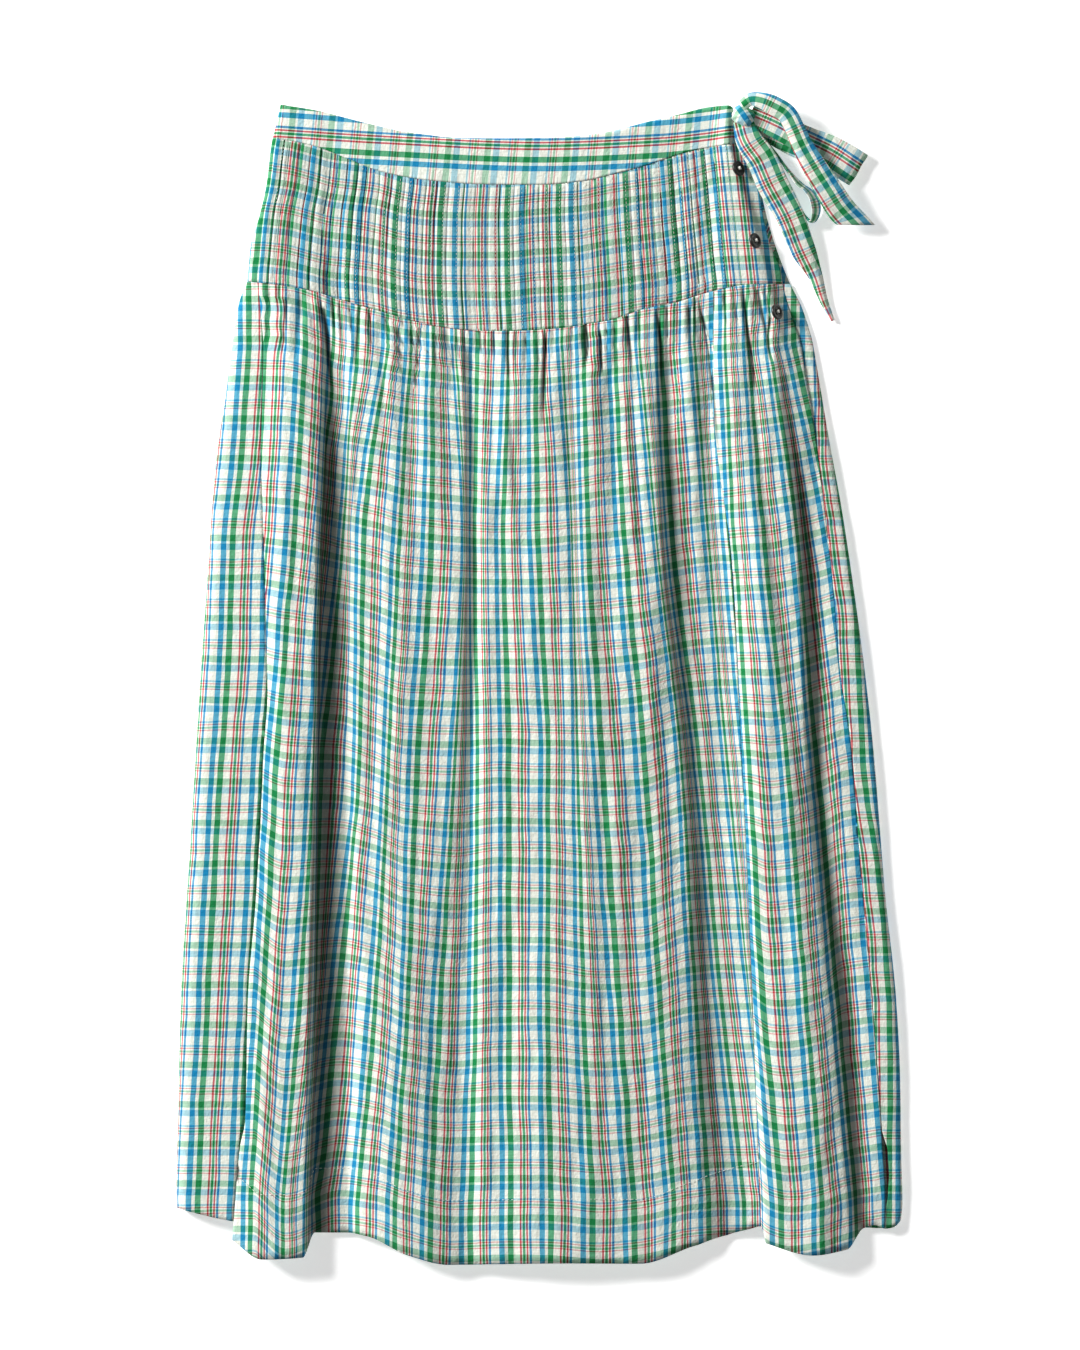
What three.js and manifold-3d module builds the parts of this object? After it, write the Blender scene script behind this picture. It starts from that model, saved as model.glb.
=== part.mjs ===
// A midi skirt in checked cotton, laid out flat on its back: a shaped waistband, a yoke of pin
// tucks, three gathered skirt panels in front and one behind, a buttoned side placket and a tie bow.
// Millimetres. +X is the viewer's right, +Y runs up from hem to waist, +Z stands off the surface.
import * as THREE from 'three';
import { mergeVertices } from 'three/addons/utils/BufferGeometryUtils.js';
import Module from 'manifold-3d';

const wasm = await Module();
wasm.setup();

// Walls and gaps
const cloth = 1.5; // one layer of crinkled cotton with its turnings
const bandCloth = 1.8; // the waistband, doubled and interlined
const tieCloth = 2; // the tie, a pressed tube
const seamGap = 0.3; // between two pieces that are sewn together
const halfGap = seamGap / 2;
const seamRowGap = 0.3; // half the gap across the curved yoke seam, where the rows' columns differ

// Places across the skirt are x, and places down it are "drop", measured from the waist's left tip.
const middleDrop = 437.75; // the origin's drop, halfway between the bow's top and the hem
const toY = (drop) => middleDrop - drop;

// Pin tucks
const tuckCount = 41;
const tuckHeight = 1.1;
const tuckPlaces = [ // share of the tucks counted from the left, and share of the way across there
  [0, 0], [0.244, 0.21], [0.39, 0.365], [0.561, 0.556], [0.732, 0.755], [0.878, 0.893], [1, 1],
];
const tuckEnd = [[30, 142.5], [137, 154]]; // drop and x of the last tuck
const plainColumns = 6; // columns in the untucked placket strip

// Gathers under the yoke
const gathersInFront = 37;
const gathersInSide = 6;
const gatherHeight = 1.7;
const gatherWave = [0, 0.7, 1, 0.45]; // one gather's profile across, as shares of its height
const gatherUneven = 0.25; // half the share by which the gathers' heights differ
const gatherUnevenStep = 1.7; // radians from one column to the next
const gatherRows = [ // distance below the yoke seam, and the share of the gather's height there
  { below: seamRowGap, share: 0.75 },
  { below: 9, share: 1 },
  { below: 26, share: 0.75 },
  { below: 48, share: 0.3 },
];
const gathersStopShort = 12; // of the placket edge, and they fade over the next gatherFade
const gatherFade = 10;
const levels = [230, 300, 375, 450, 530, 610, 690, 765, 822]; // drops of the panels' further rows

// Edges and seams, as rows of [x, drop]
const bandTopFront = [
  [-197, 0], [-178, 5.3], [-161, 11.4], [-145.5, 16.7], [-129, 20.5], [-106, 23.9], [-76, 25.8],
  [-30, 26.2], [15.5, 25.4], [48, 22], [82, 13.7], [104.5, 8.4], [131, 2.3], [144, 1.5], [148, 3.5],
];
const bandTopBack = [
  [-197, 0.5], [-177, 3.5], [-165, 5.8], [-153, 9], [-139, 12.7], [-117, 18], [-104, 21], [-84, 23.4],
  [-72, 25.2], [-30, 27.2], [50, 24], [100, 11], [131, 4], [147, 4],
];
const bandSeam = [
  [-201, 26], [-172, 32], [-148, 41], [-119, 52], [-82, 58.5], [-38, 61.4], [0, 61.6], [32, 59],
  [56, 53.7], [81, 47], [102, 40], [115, 36], [143, 31], [150, 30],
];
const yokeSeam = [
  [-224, 135], [-193, 139], [-171, 143], [-154, 148.5], [-137, 153.5], [-116, 159.6], [-98, 165],
  [-78, 169.5], [-45, 173], [-20, 173], [16, 171], [35, 168], [53, 165], [81, 156], [103, 151.6],
  [122, 145.5], [140, 141], [157, 138], [192, 137],
];

// Outlines and side seams, as rows of [drop, x]
const outlineLeft = [
  [0, -197], [17, -201], [30, -204], [62, -208], [84, -213], [109, -220], [135, -222.5], [150, -228.5],
  [188, -234.5], [223, -239], [261, -245], [302, -249], [358, -252.5], [425, -257.5], [500, -262],
  [559, -265.5], [682, -273], [773, -275], [826, -276.3], [850, -275],
];
const seamLeft = [
  [0, -194], [30, -200.5], [62, -204.5], [84, -209], [115, -212], [135, -213.5], [188, -210],
  [261, -211.5], [332, -209.5], [420, -207], [448, -206.5], [492, -209.5], [536, -211.5],
  [606, -215.5], [682, -221.5], [773, -223.5], [793, -227.5], [839, -231.5], [864, -233.5],
];
const seamRight = [
  [0, 147], [30, 150], [42, 158.5], [53, 163], [66, 167], [84, 170], [104, 174.5], [125, 183],
  [136, 185], [149, 188], [167, 193.5], [180, 198], [207, 202.5], [249, 209.5], [287, 214.5],
  [347, 221.5], [391, 225.5], [435, 229], [478, 236], [529, 240.5], [565, 243], [644, 250],
  [727, 256.5], [796, 261], [830, 263], [856, 262.5],
];
const outlineRight = [
  [60, 166], [68, 169], [82, 172], [109, 180], [135, 190], [153, 199], [167, 204], [195, 211],
  [217, 222.5], [289, 229], [325, 235], [376, 240.5], [435, 248], [500, 255], [551, 259], [600, 263],
  [682, 271.5], [740, 274.5], [806, 275.5], [837, 276.3], [850, 275],
];
const slitAtHem = [[780, 0], [798, 4], [822, 3.4], [842, 0.4]]; // drop and width of the open side slit
const hemBehind = [ // x and drop of the back's hem and of the plain side's
  [-275, 840], [-264, 843], [-240, 848.5], [-230, 850], [0, 853], [240, 855], [262, 856], [269, 855],
  [276, 849],
];

// The lines that the cloth's folds follow down the front. x and height are given at each station,
// hem is the drop at which the line ends, and steps is the number of columns to the next line.
const stations = [30, 150, 226, 347, 530, 682, 860];
const foldLines = [
  { name: 'plain side seam', steps: 3, hem: 864, height: [4.6, 7, 10, 14, 16, 16, 15] },
  { name: 'flare crest', steps: 3, hem: 878.5,
    x: [-190, -193, -193, -193, -193, -201, -211], height: [4.6, 8, 14, 19, 21, 21, 20] },
  { name: 'flare edge', steps: 3, hem: 877,
    x: [-168.5, -166, -167, -170.5, -173, -176.5, -179.5], height: [4.5, 7.5, 13, 18, 20, 20, 19] },
  { name: 'deep valley, near side', steps: 2, hem: 859,
    x: [-162, -161, -161, -163, -164.5, -167, -171], height: [4, 5.5, 5, 4.2, 4, 4, 4] },
  { name: 'deep valley, far side', steps: 3, hem: 859,
    x: [-156, -153, -149.5, -148.5, -148.5, -148.5, -147], height: [4, 5.5, 5, 4.2, 4, 4, 4] },
  { name: 'deep valley shoulder', steps: 3, hem: 861,
    x: [-148, -144, -142, -139.5, -138, -136.5, -133.5], height: [4.3, 7.5, 11, 13, 12, 12, 12] },
  { name: 'left crest', steps: 4, hem: 876,
    x: [-121, -117.5, -106, -102, -102, -102, -98.5], height: [4.4, 8, 13, 16, 17, 17, 17] },
  { name: 'narrow valley, left', steps: 2, hem: 883,
    x: [-64, -62, -59.5, -58, -63.5, -66.5, -64], height: [4.3, 7.5, 12, 15, 14, 13, 13] },
  { name: 'narrow valley', steps: 2, hem: 883,
    x: [-53, -52, -50.5, -48.5, -52, -54.5, -53], height: [4.1, 6.5, 6.5, 5, 6, 7, 9] },
  { name: 'narrow valley, right', steps: 5, hem: 882.5,
    x: [-45, -43.5, -41.5, -39, -40.5, -41.5, -39], height: [4.3, 7.5, 12, 14, 14, 14, 14] },
  { name: 'middle crest', steps: 4, hem: 881.5,
    x: [0.5, 4, 8, 12, 15.5, 15.5, 15.5], height: [4.5, 8, 13, 16, 18, 18, 18] },
  { name: 'middle, right', steps: 4, hem: 882,
    x: [46, 53.5, 61, 65, 69, 72.5, 76.5], height: [4.4, 8, 13, 16, 16, 16, 15] },
  { name: 'long valley shoulder', steps: 3, hem: 868,
    x: [88, 88, 88, 91.5, 108.5, 114.5, 120.5], height: [4.4, 7.5, 12.5, 14, 12, 12, 12] },
  { name: 'long valley', steps: 2, hem: 861,
    x: [103, 100.5, 97, 103.5, 122, 130.5, 143], height: [4, 6, 6, 5, 4.3, 4.3, 5] },
  { name: 'ridge in the long valley', steps: 2, hem: 858,
    x: [114.5, 114.5, 113, 118, 131, 140, 152.5], height: [4.4, 7.5, 11, 8, 6, 6, 7] },
  { name: 'valley at the panel seam', steps: 2, hem: 856,
    x: [123.5, 124, 127.5, 132.5, 143, 151.5, 160.5], height: [4.1, 6.5, 6, 6, 7, 8, 8] },
  { name: 'panel seam', steps: 2, hem: 854,
    x: [131, 132.5, 132.5, 145.5, 155.5, 162, 168.5], height: [4.6, 7.5, 9, 10, 10, 10.5, 10] },
  { name: 'beside the panel seam', steps: 3, hem: 866.5,
    x: [135.5, 136.5, 137, 151, 160.5, 167.5, 172], height: [6.5, 8.5, 12, 13, 14, 15, 15] },
  { name: 'side crest', steps: 4, hem: 875.5,
    x: [140, 148.5, 160, 167.5, 179, 198, 207], height: [8.5, 11, 14, 17, 19, 19, 19] },
  { name: 'side valley, left', steps: 3, hem: 871,
    x: [143, 170, 181.5, 195, 202.5, 219, 234.5], height: [9, 12, 13, 15, 15, 15, 14] },
  { name: 'side valley', steps: 2, hem: 856,
    x: [145, 177, 191, 204, 214.5, 232, 246.5], height: [8, 10.5, 7.5, 5.2, 4.8, 4.8, 5.2] },
  { name: 'beside the placket edge', steps: 2, hem: 853,
    x: [147, 182.5, 197, 213, 228.5, 245, 255.5], height: [5.8, 6.5, 7, 7.5, 8, 8, 8] },
  { name: 'placket edge', steps: 0, hem: 856, height: [4, 4, 6, 8, 8, 8, 7] },
];
const panelSeam = foldLines.findIndex((line) => line.name === 'panel seam');
const placketEdge = foldLines.length - 1;

// Buttons: where each is sewn, how far it tips from level and the way it faces, from +X
const buttonRadius = 5.9;
const buttonThickness = 2.6;
const buttonHoleRadius = 0.75;
const buttonHoleCircle = 1.6; // radius of the circle that the four holes are on
const buttons = [
  { x: 150.5, drop: 50, tilt: 42, facing: 22 },
  { x: 163, drop: 105, tilt: 44, facing: 18 },
  { x: 179.5, drop: 159, tilt: 48, facing: 15 },
];

// The tie bow: a row for each bend. turn is the way across the strap, in degrees from +X, lean
// tips that way up from the surface, slant carries one side of a cut end further on, and crown is
// how much the middle stands over the edges, less at a loop's fold.
const knot = { x: 155.6, drop: 9.8, z: 8.4, across: 8.4, along: 7.7, high: 8.1, turn: -25 };
const longTail = [
  { x: 156, drop: 13, z: 10, width: 11, turn: 18 },
  { x: 161, drop: 28, z: 11.5, width: 16, turn: 25 },
  { x: 170.5, drop: 43, z: 11.5, width: 20, turn: 30 },
  { x: 178, drop: 61, z: 11, width: 22.5, turn: 30 },
  { x: 190, drop: 85, z: 9.5, width: 21.5, turn: 28 },
  { x: 200.5, drop: 111, z: 7, width: 19, turn: 27 },
  { x: 210, drop: 131, z: 4.5, width: 11, turn: 24 },
  { x: 216.5, drop: 150, z: 3, width: 6.5, turn: 20 },
  { x: 223.5, drop: 165, z: 2, width: 3, turn: 18 },
];
const upperTail = [
  { x: 154.5, drop: 1.5, z: 13.5, width: 9, turn: 115 },
  { x: 160.5, drop: -2.5, z: 15.5, width: 10, turn: 108 },
  { x: 169, drop: -1.5, z: 17, width: 12.5, turn: 78 },
  { x: 178, drop: 2.5, z: 17.5, width: 15, turn: 62 },
  { x: 187.5, drop: 8.5, z: 17.5, width: 15, turn: 44 },
  { x: 193.5, drop: 19, z: 17.5, width: 15, turn: 30 },
  { x: 199.5, drop: 32.5, z: 17.5, width: 16, turn: 27 },
  { x: 208.5, drop: 48.5, z: 17, width: 18.5, turn: 30 },
  { x: 219.5, drop: 66, z: 15.5, width: 21, turn: 33 },
  { x: 229, drop: 80.5, z: 13, width: 22, turn: 36 },
  { x: 240.5, drop: 92.5, z: 10, width: 21, turn: 37, slant: 10.5 },
];
const flatLoop = [
  { x: 159, drop: 10.5, z: 2.6, width: 9, turn: 57 },
  { x: 179, drop: 16.5, z: 2.6, width: 14, turn: 62 },
  { x: 198, drop: 26, z: 2.8, width: 21, turn: 63 },
  { x: 221, drop: 37, z: 3.1, width: 25, turn: 61 },
  { x: 237, drop: 47.2, z: 3.3, width: 27, turn: 59, crown: 0.2 },
  { x: 242.6, drop: 50.7, z: 6, width: 27, turn: 58, crown: 0 },
  { x: 237, drop: 47.2, z: 8.7, width: 27, turn: 59, crown: 0.2 },
  { x: 221, drop: 37, z: 9, width: 25, turn: 61 },
  { x: 198, drop: 26, z: 9, width: 21, turn: 63 },
  { x: 179, drop: 16, z: 9.5, width: 14, turn: 62 },
  { x: 160.4, drop: 8, z: 9.6, width: 9, turn: 57 },
];
const standingLoop = [
  { x: 158, drop: 13.5, z: 6.2, width: 3, lean: 90 },
  { x: 164.5, drop: 20, z: 6, width: 3, lean: 90 },
  { x: 170.5, drop: 27, z: 5, width: 5, lean: 90 },
  { x: 180, drop: 38.5, z: 4.6, width: 7, lean: 90 },
  { x: 190, drop: 52, z: 6, width: 10, lean: 90 },
  { x: 198, drop: 61.5, z: 7.6, width: 14, lean: 90 },
  { x: 204.5, drop: 66.5, z: 8, width: 15, lean: 90 },
  { x: 209, drop: 73, z: 8, width: 15, lean: 90 },
  { x: 210.5, drop: 82, z: 7.5, width: 14, lean: 90 },
  { x: 207.5, drop: 89.5, z: 6, width: 11, lean: 90 },
  { x: 202.5, drop: 85.5, z: 4, width: 7, lean: 90 },
  { x: 196, drop: 74, z: 3.6, width: 6, lean: 90 },
  { x: 188, drop: 61, z: 3.4, width: 5.5, lean: 90 },
  { x: 178, drop: 47, z: 3.4, width: 5.5, lean: 90 },
  { x: 169, drop: 35, z: 3.4, width: 5.5, lean: 90 },
];
const ribbonSteps = 2; // samples to each bend
const ribbonAcross = [-1, -0.62, 0, 0.62, 1];
const ribbonCrown = 1;

// A smooth curve through rows of [place, value] that never swings past a row.
function smooth(rows) {
  const last = rows.length - 1;
  const rise = rows.slice(1).map((row, i) => (row[1] - rows[i][1]) / (row[0] - rows[i][0]));
  const slope = rows.map((row, i) => {
    if (i === 0) return rise[0];
    if (i === last) return rise[last - 1];
    const turns = rise[i - 1] * rise[i] <= 0;
    return turns ? 0 : (2 * rise[i - 1] * rise[i]) / (rise[i - 1] + rise[i]);
  });
  return (place) => {
    if (place <= rows[0][0]) return rows[0][1];
    if (place >= rows[last][0]) return rows[last][1];
    const i = rows.findIndex((row) => row[0] > place) - 1;
    const width = rows[i + 1][0] - rows[i][0];
    const t = (place - rows[i][0]) / width;
    const start = (1 + 2 * t) * (1 - t) * (1 - t);
    const leave = t * (1 - t) * (1 - t) * width;
    const arrive = t * t * (t - 1) * width;
    return start * rows[i][1] + (1 - start) * rows[i + 1][1] + leave * slope[i] + arrive * slope[i + 1];
  };
}

const edge = {
  bandTopFront: smooth(bandTopFront),
  bandTopBack: smooth(bandTopBack),
  bandSeam: smooth(bandSeam),
  yokeSeam: smooth(yokeSeam),
  outlineLeft: smooth(outlineLeft),
  outlineRight: smooth(outlineRight),
  seamLeft: smooth(seamLeft),
  seamRight: smooth(seamRight),
  slitAtHem: smooth(slitAtHem),
  hemBehind: smooth(hemBehind),
  tuckEnd: smooth(tuckEnd),
};
const tuckPlace = smooth(tuckPlaces);
const pair = (first, second) => first.map((value, i) => [value, second[i]]);
foldLines.forEach((line, i) => {
  line.heightAt = smooth(pair(stations, line.height));
  line.xAt = line.x ? smooth(pair(stations, line.x)) : null;
  if (i === 0) line.xAt = edge.seamLeft;
  if (i === placketEdge) line.xAt = edge.seamRight;
});

// The front's outer height at a place, from the fold lines that pass on either side of it.
function frontHeight(x, drop) {
  const section = foldLines.map((line) => [line.xAt(drop), line.heightAt(drop)]);
  return smooth(section)(x);
}

// A point of the front, moved in or out along the section's own slope.
function frontPoint(x, drop, outward = 0) {
  const step = 0.5;
  const rise = (frontHeight(x + step, drop) - frontHeight(x - step, drop)) / (2 * step);
  const length = Math.hypot(1, rise);
  const z = frontHeight(x, drop) + outward / length;
  return new THREE.Vector3(x - (outward * rise) / length, toY(drop), z);
}

// Joins two rows of numbered points, each with its place across from 0 to 1, by triangles.
function zip(upper, lower, faces) {
  let a = 0;
  let b = 0;
  while (a < upper.length - 1 || b < lower.length - 1) {
    const nextUpper = a < upper.length - 1 ? upper[a + 1].at : Infinity;
    const nextLower = b < lower.length - 1 ? lower[b + 1].at : Infinity;
    if (nextUpper <= nextLower) {
      faces.push(upper[a].index, lower[b].index, upper[a + 1].index);
      a += 1;
    } else {
      faces.push(upper[a].index, lower[b].index, lower[b + 1].index);
      b += 1;
    }
  }
}

// A closed wall between an outer and an inner sheet. A sheet is rows of { at, point }, and its rows
// need not have the same number of points.
function wall(outerRows, innerRows) {
  const positions = [];
  const number = (rows) => rows.map((row) => row.map(({ at, point }) => {
    positions.push(point.x, point.y, point.z);
    return { at, index: positions.length / 3 - 1 };
  }));
  const outer = number(outerRows);
  const inner = number(innerRows);
  const faces = [];
  for (let i = 1; i < outer.length; i += 1) zip(outer[i - 1], outer[i], faces);
  for (let i = 1; i < inner.length; i += 1) zip(inner[i], inner[i - 1], faces);
  zip(inner[0], outer[0], faces);
  zip(outer.at(-1), inner.at(-1), faces);
  const side = (rows, end) => rows.map((row, i) => ({ at: i / (rows.length - 1), index: row.at(end).index }));
  zip(side(outer, 0), side(inner, 0), faces);
  zip(side(inner, -1), side(outer, -1), faces);
  return facingOut(positions, faces);
}

// The geometry of a closed mesh, turned the right way round if its volume comes out negative.
function facingOut(positions, faces) {
  const corner = (i) => new THREE.Vector3().fromArray(positions, 3 * i);
  let volume = 0;
  for (let i = 0; i < faces.length; i += 3) {
    const [a, b, c] = faces.slice(i, i + 3).map(corner);
    volume += a.dot(b.cross(c)) / 6;
  }
  const index = volume < 0 ? faces.toReversed() : faces;
  const geometry = new THREE.BufferGeometry();
  geometry.setAttribute('position', new THREE.Float32BufferAttribute(positions, 3));
  geometry.setIndex(index);
  geometry.computeVertexNormals();
  return geometry;
}

// The x of a column and its drop, where the drop of a row depends on x and x on the drop. They are
// worked out in turn from a first guess, and a few turns settle them.
const settlingTurns = 5;
function settle(xAt, dropAt) {
  let x = 0;
  let drop = dropAt(x);
  for (let i = 0; i < settlingTurns; i += 1) {
    x = xAt(drop);
    drop = dropAt(x);
  }
  return { x, drop };
}

// The columns of a skirt panel between two fold lines, as a line's number and the share past it.
function columnsBetween(first, last) {
  const columns = [];
  for (let i = first; i < last; i += 1) {
    for (let j = 0; j < foldLines[i].steps; j += 1) columns.push({ line: i, share: j / foldLines[i].steps });
  }
  columns.push({ line: last - 1, share: 1 });
  return columns;
}

// The rows of a skirt panel, from the yoke seam down: each gives the drop at an x and its hem.
const panelRows = [
  ...gatherRows.map(({ below }) => (x) => edge.yokeSeam(x) + below),
  ...levels.map((level) => () => level),
  (x, hem) => hem,
];

// A gathered skirt panel between two fold lines. Its outer sheet has gathers along the yoke seam.
function skirtPanel(first, last, gathers) {
  const columns = columnsBetween(first, last);
  const hemAt = smooth(foldLines.map((line, i) => [i, line.hem]));
  const inset = (share) => halfGap * (1 - 2 * share);
  const sideX = (line, drop) => foldLines[line].xAt(drop);

  const foldRow = (dropAt, outward) => columns.map((column) => {
    const { x, drop } = settle(
      (d) => THREE.MathUtils.lerp(sideX(column.line, d), sideX(column.line + 1, d), column.share),
      (px) => dropAt(px, hemAt(column.line + column.share)),
    );
    const left = sideX(first, drop);
    const at = (x - left) / (sideX(last, drop) - left);
    return { at, point: frontPoint(x + inset(at), drop, outward) };
  });

  const gatherRow = (dropAt, share, outward, count) => Array.from({ length: count + 1 }, (unused, i) => {
    const at = i / count;
    const { x, drop } = settle((d) => THREE.MathUtils.lerp(sideX(first, d), sideX(last, d), at), dropAt);
    const wave = gatherWave[i % gatherWave.length];
    const uneven = 1 - gatherUneven * (1 - Math.sin(i * gatherUnevenStep + first));
    const clear = THREE.MathUtils.clamp((edge.seamRight(drop) - gathersStopShort - x) / gatherFade, 0, 1);
    const raised = outward === 0 ? gatherHeight * wave * uneven * share * clear : 0;
    return { at, point: frontPoint(x + inset(at), drop, outward + raised) };
  });

  const rows = (outward, count) => panelRows.map((dropAt, i) => {
    if (i < gatherRows.length) return gatherRow(dropAt, gatherRows[i].share, outward, count);
    return foldRow(dropAt, outward);
  });
  return wall(rows(0, gatherWave.length * gathers), rows(-cloth, columns.length - 1));
}

const yokeRows = [0, 0.22, 0.48, 0.75, 1]; // shares of the way down the yoke
const yokeDrop = (x, v) => THREE.MathUtils.lerp(edge.bandSeam(x) + halfGap, edge.yokeSeam(x) - seamRowGap, v);
const bandRows = [0, 0.12, 0.5, 1]; // shares of the way down the waistband

// The front yoke: pin tucks raised on its outside as far as the placket strip, and plain within.
function frontYoke() {
  const rise = [ // a tuck's profile: share of its pitch, share of its height
    { share: 0, height: 0 }, { share: 0.1, height: 1 }, { share: 0.42, height: 0.8 }, { share: 0.5, height: 0 },
  ];
  const places = [];
  for (let tuck = 0; tuck < tuckCount; tuck += 1) {
    for (const { share, height } of rise) places.push({ tucked: (tuck + share) / tuckCount, height });
  }
  for (let i = 0; i <= plainColumns; i += 1) places.push({ tucked: 1, plain: i / plainColumns, height: 0 });
  const plainPlaces = places.filter((place, i) => i % rise.length === 0 || place.plain > 0);

  const row = (v, outward, used) => used.map(({ tucked, plain = 0, height }) => {
    const xAt = (drop) => {
      const left = edge.seamLeft(drop) + halfGap;
      const end = edge.tuckEnd(drop);
      const right = edge.seamRight(drop) - halfGap;
      if (plain > 0) return THREE.MathUtils.lerp(end, right, plain);
      return THREE.MathUtils.lerp(left, end, tuckPlace(tucked));
    };
    const { x, drop } = settle(xAt, (px) => yokeDrop(px, v));
    const raised = outward === 0 ? height * tuckHeight : 0;
    return { at: (tucked + plain) / 2, point: frontPoint(x, drop, outward + raised) };
  });
  return wall(
    yokeRows.map((v) => row(v, 0, places)),
    yokeRows.map((v) => row(v, -cloth, plainPlaces)),
  );
}

// The front of the waistband, over the back one. Its fold along the top is a little rounded.
const bandEndDrop = 30; // where the band's right end meets the yoke
const bandEndX = (drop) => edge.seamRight(Math.min(drop, bandEndDrop));
function frontBand() {
  const columns = 32;
  const topRound = 0.5;
  const row = (v, outward) => Array.from({ length: columns + 1 }, (unused, i) => {
    const at = i / columns;
    const { x, drop } = settle(
      (d) => THREE.MathUtils.lerp(edge.seamLeft(d) + halfGap, bandEndX(d) - halfGap, at),
      (px) => THREE.MathUtils.lerp(edge.bandTopFront(px), edge.bandSeam(px) - halfGap, v),
    );
    return { at, point: frontPoint(x, drop, outward) };
  });
  return wall(
    bandRows.map((v) => row(v, v === 0 ? -topRound : 0)),
    bandRows.map((v) => row(v, -bandCloth)),
  );
}

// Half an ellipse in the section, from the upper layer round the outline to the surface below.
// side is -1 at the left outline and 1 at the right one.
function roundSide(outlineX, reach, high, side, steps) {
  const points = [];
  for (let i = 0; i <= steps; i += 1) {
    const angle = Math.PI * (0.5 - i / steps);
    const x = outlineX + side * reach * (Math.cos(angle) - 1);
    points.push(new THREE.Vector2(x, (high / 2) * (1 + Math.sin(angle))));
  }
  return points;
}

// A wall behind: each row follows a path in the section, which the wall lies within. A row is a
// function that gives the drop at an x.
function behind(pathAt, rowDrops, thickness) {
  const upperStep = 0.05; // keeps the inner sheet of a narrow upper layer short of its own seam
  const rows = (inward) => rowDrops.map((dropAt) => {
    const count = pathAt(dropAt(0)).length;
    return Array.from({ length: count }, (unused, i) => {
      const { drop } = settle((d) => pathAt(d)[i].x, dropAt);
      const path = pathAt(drop);
      const before = path[Math.max(i - 1, 0)];
      const after = path[Math.min(i + 1, count - 1)];
      const along = after.clone().sub(before).normalize();
      if (before === path[i] || after === path[i]) along.set(Math.sign(along.x), 0);
      const upper = path[0].y > 0 && path[i].y > path[0].y / 2;
      const inside = path[i].x - along.y * inward;
      const x = upper ? Math.min(inside, path[0].x - i * upperStep) : inside;
      const z = path[i].y + along.x * inward;
      return { at: i / (count - 1), point: new THREE.Vector3(x, toY(drop), z) };
    });
  });
  return wall(rows(0), rows(thickness));
}

// Points along the surface, all at the same x in every piece behind, so that their seams agree.
const floorColumns = [-177, -154, -130, -100, -65, -25, 15, 50, 80, 110, 130];
const onFloor = (...places) => places.map((x) => new THREE.Vector2(x, 0));
const turnSteps = 7; // columns round an outline
const turnBase = 15; // from the left outline to the first column that lies on the surface
const underReach = 46; // how far the plain side panel runs in under the skirt
const sideReach = (strip, most) => THREE.MathUtils.clamp(strip, 2.6, most); // of a turned side

// Every path below runs anticlockwise round the skirt's hollow, from the upper layer at the left,
// round the left outline, along the surface and up round the right outline.
function leftTurn(drop) {
  const sag = 0.6; // of the upper layer, from its seam to where it turns down
  const widest = 10;
  const seam = edge.seamLeft(drop) - halfGap;
  const outline = edge.outlineLeft(drop);
  const high = foldLines[0].heightAt(drop);
  const reach = sideReach(0.8 * (seam - outline), widest);
  const turn = roundSide(outline, reach, high - sag, -1, turnSteps);
  const middle = new THREE.Vector2((seam + turn[0].x) / 2, high - 0.4 * sag);
  return [new THREE.Vector2(seam, high), middle, ...turn];
}

function plainSidePath(drop) {
  const outline = edge.outlineLeft(drop);
  const floor = onFloor(...[0.44, 0.72, 1].map((share) => outline + share * underReach));
  return [...leftTurn(drop), ...floor];
}

function backPath(drop) {
  const widest = 7;
  const flatEnd = 4; // from the last column on the surface to where the side turns up
  const sag = 0.2;
  const start = edge.outlineLeft(drop) + underReach + seamGap;
  const outline = edge.outlineRight(drop);
  const seam = edge.seamRight(drop) + halfGap + edge.slitAtHem(drop);
  const high = foldLines[placketEdge].heightAt(drop);
  const reach = sideReach(0.56 * (outline - seam), widest);
  const turn = roundSide(outline, reach, high - 2 * sag, 1, turnSteps).toReversed();
  const floor = onFloor(start, ...floorColumns.slice(1), outline - reach - flatEnd);
  return [...floor, ...turn, new THREE.Vector2(seam, high - sag)];
}

function backYokePath(drop) {
  const showing = 1.1; // how far the back yoke shows past the front one at least
  const left = edge.outlineLeft(drop);
  const right = Math.max(edge.outlineRight(drop), edge.seamRight(drop) + showing);
  return [...leftTurn(drop), ...onFloor(left + turnBase, ...floorColumns, right)];
}

function backBandPath(drop) {
  const shorter = 1; // than the front of the band, at its right end
  const left = edge.outlineLeft(drop);
  return [...leftTurn(drop), ...onFloor(left + turnBase, ...floorColumns, bandEndX(drop) - shorter)];
}

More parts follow.
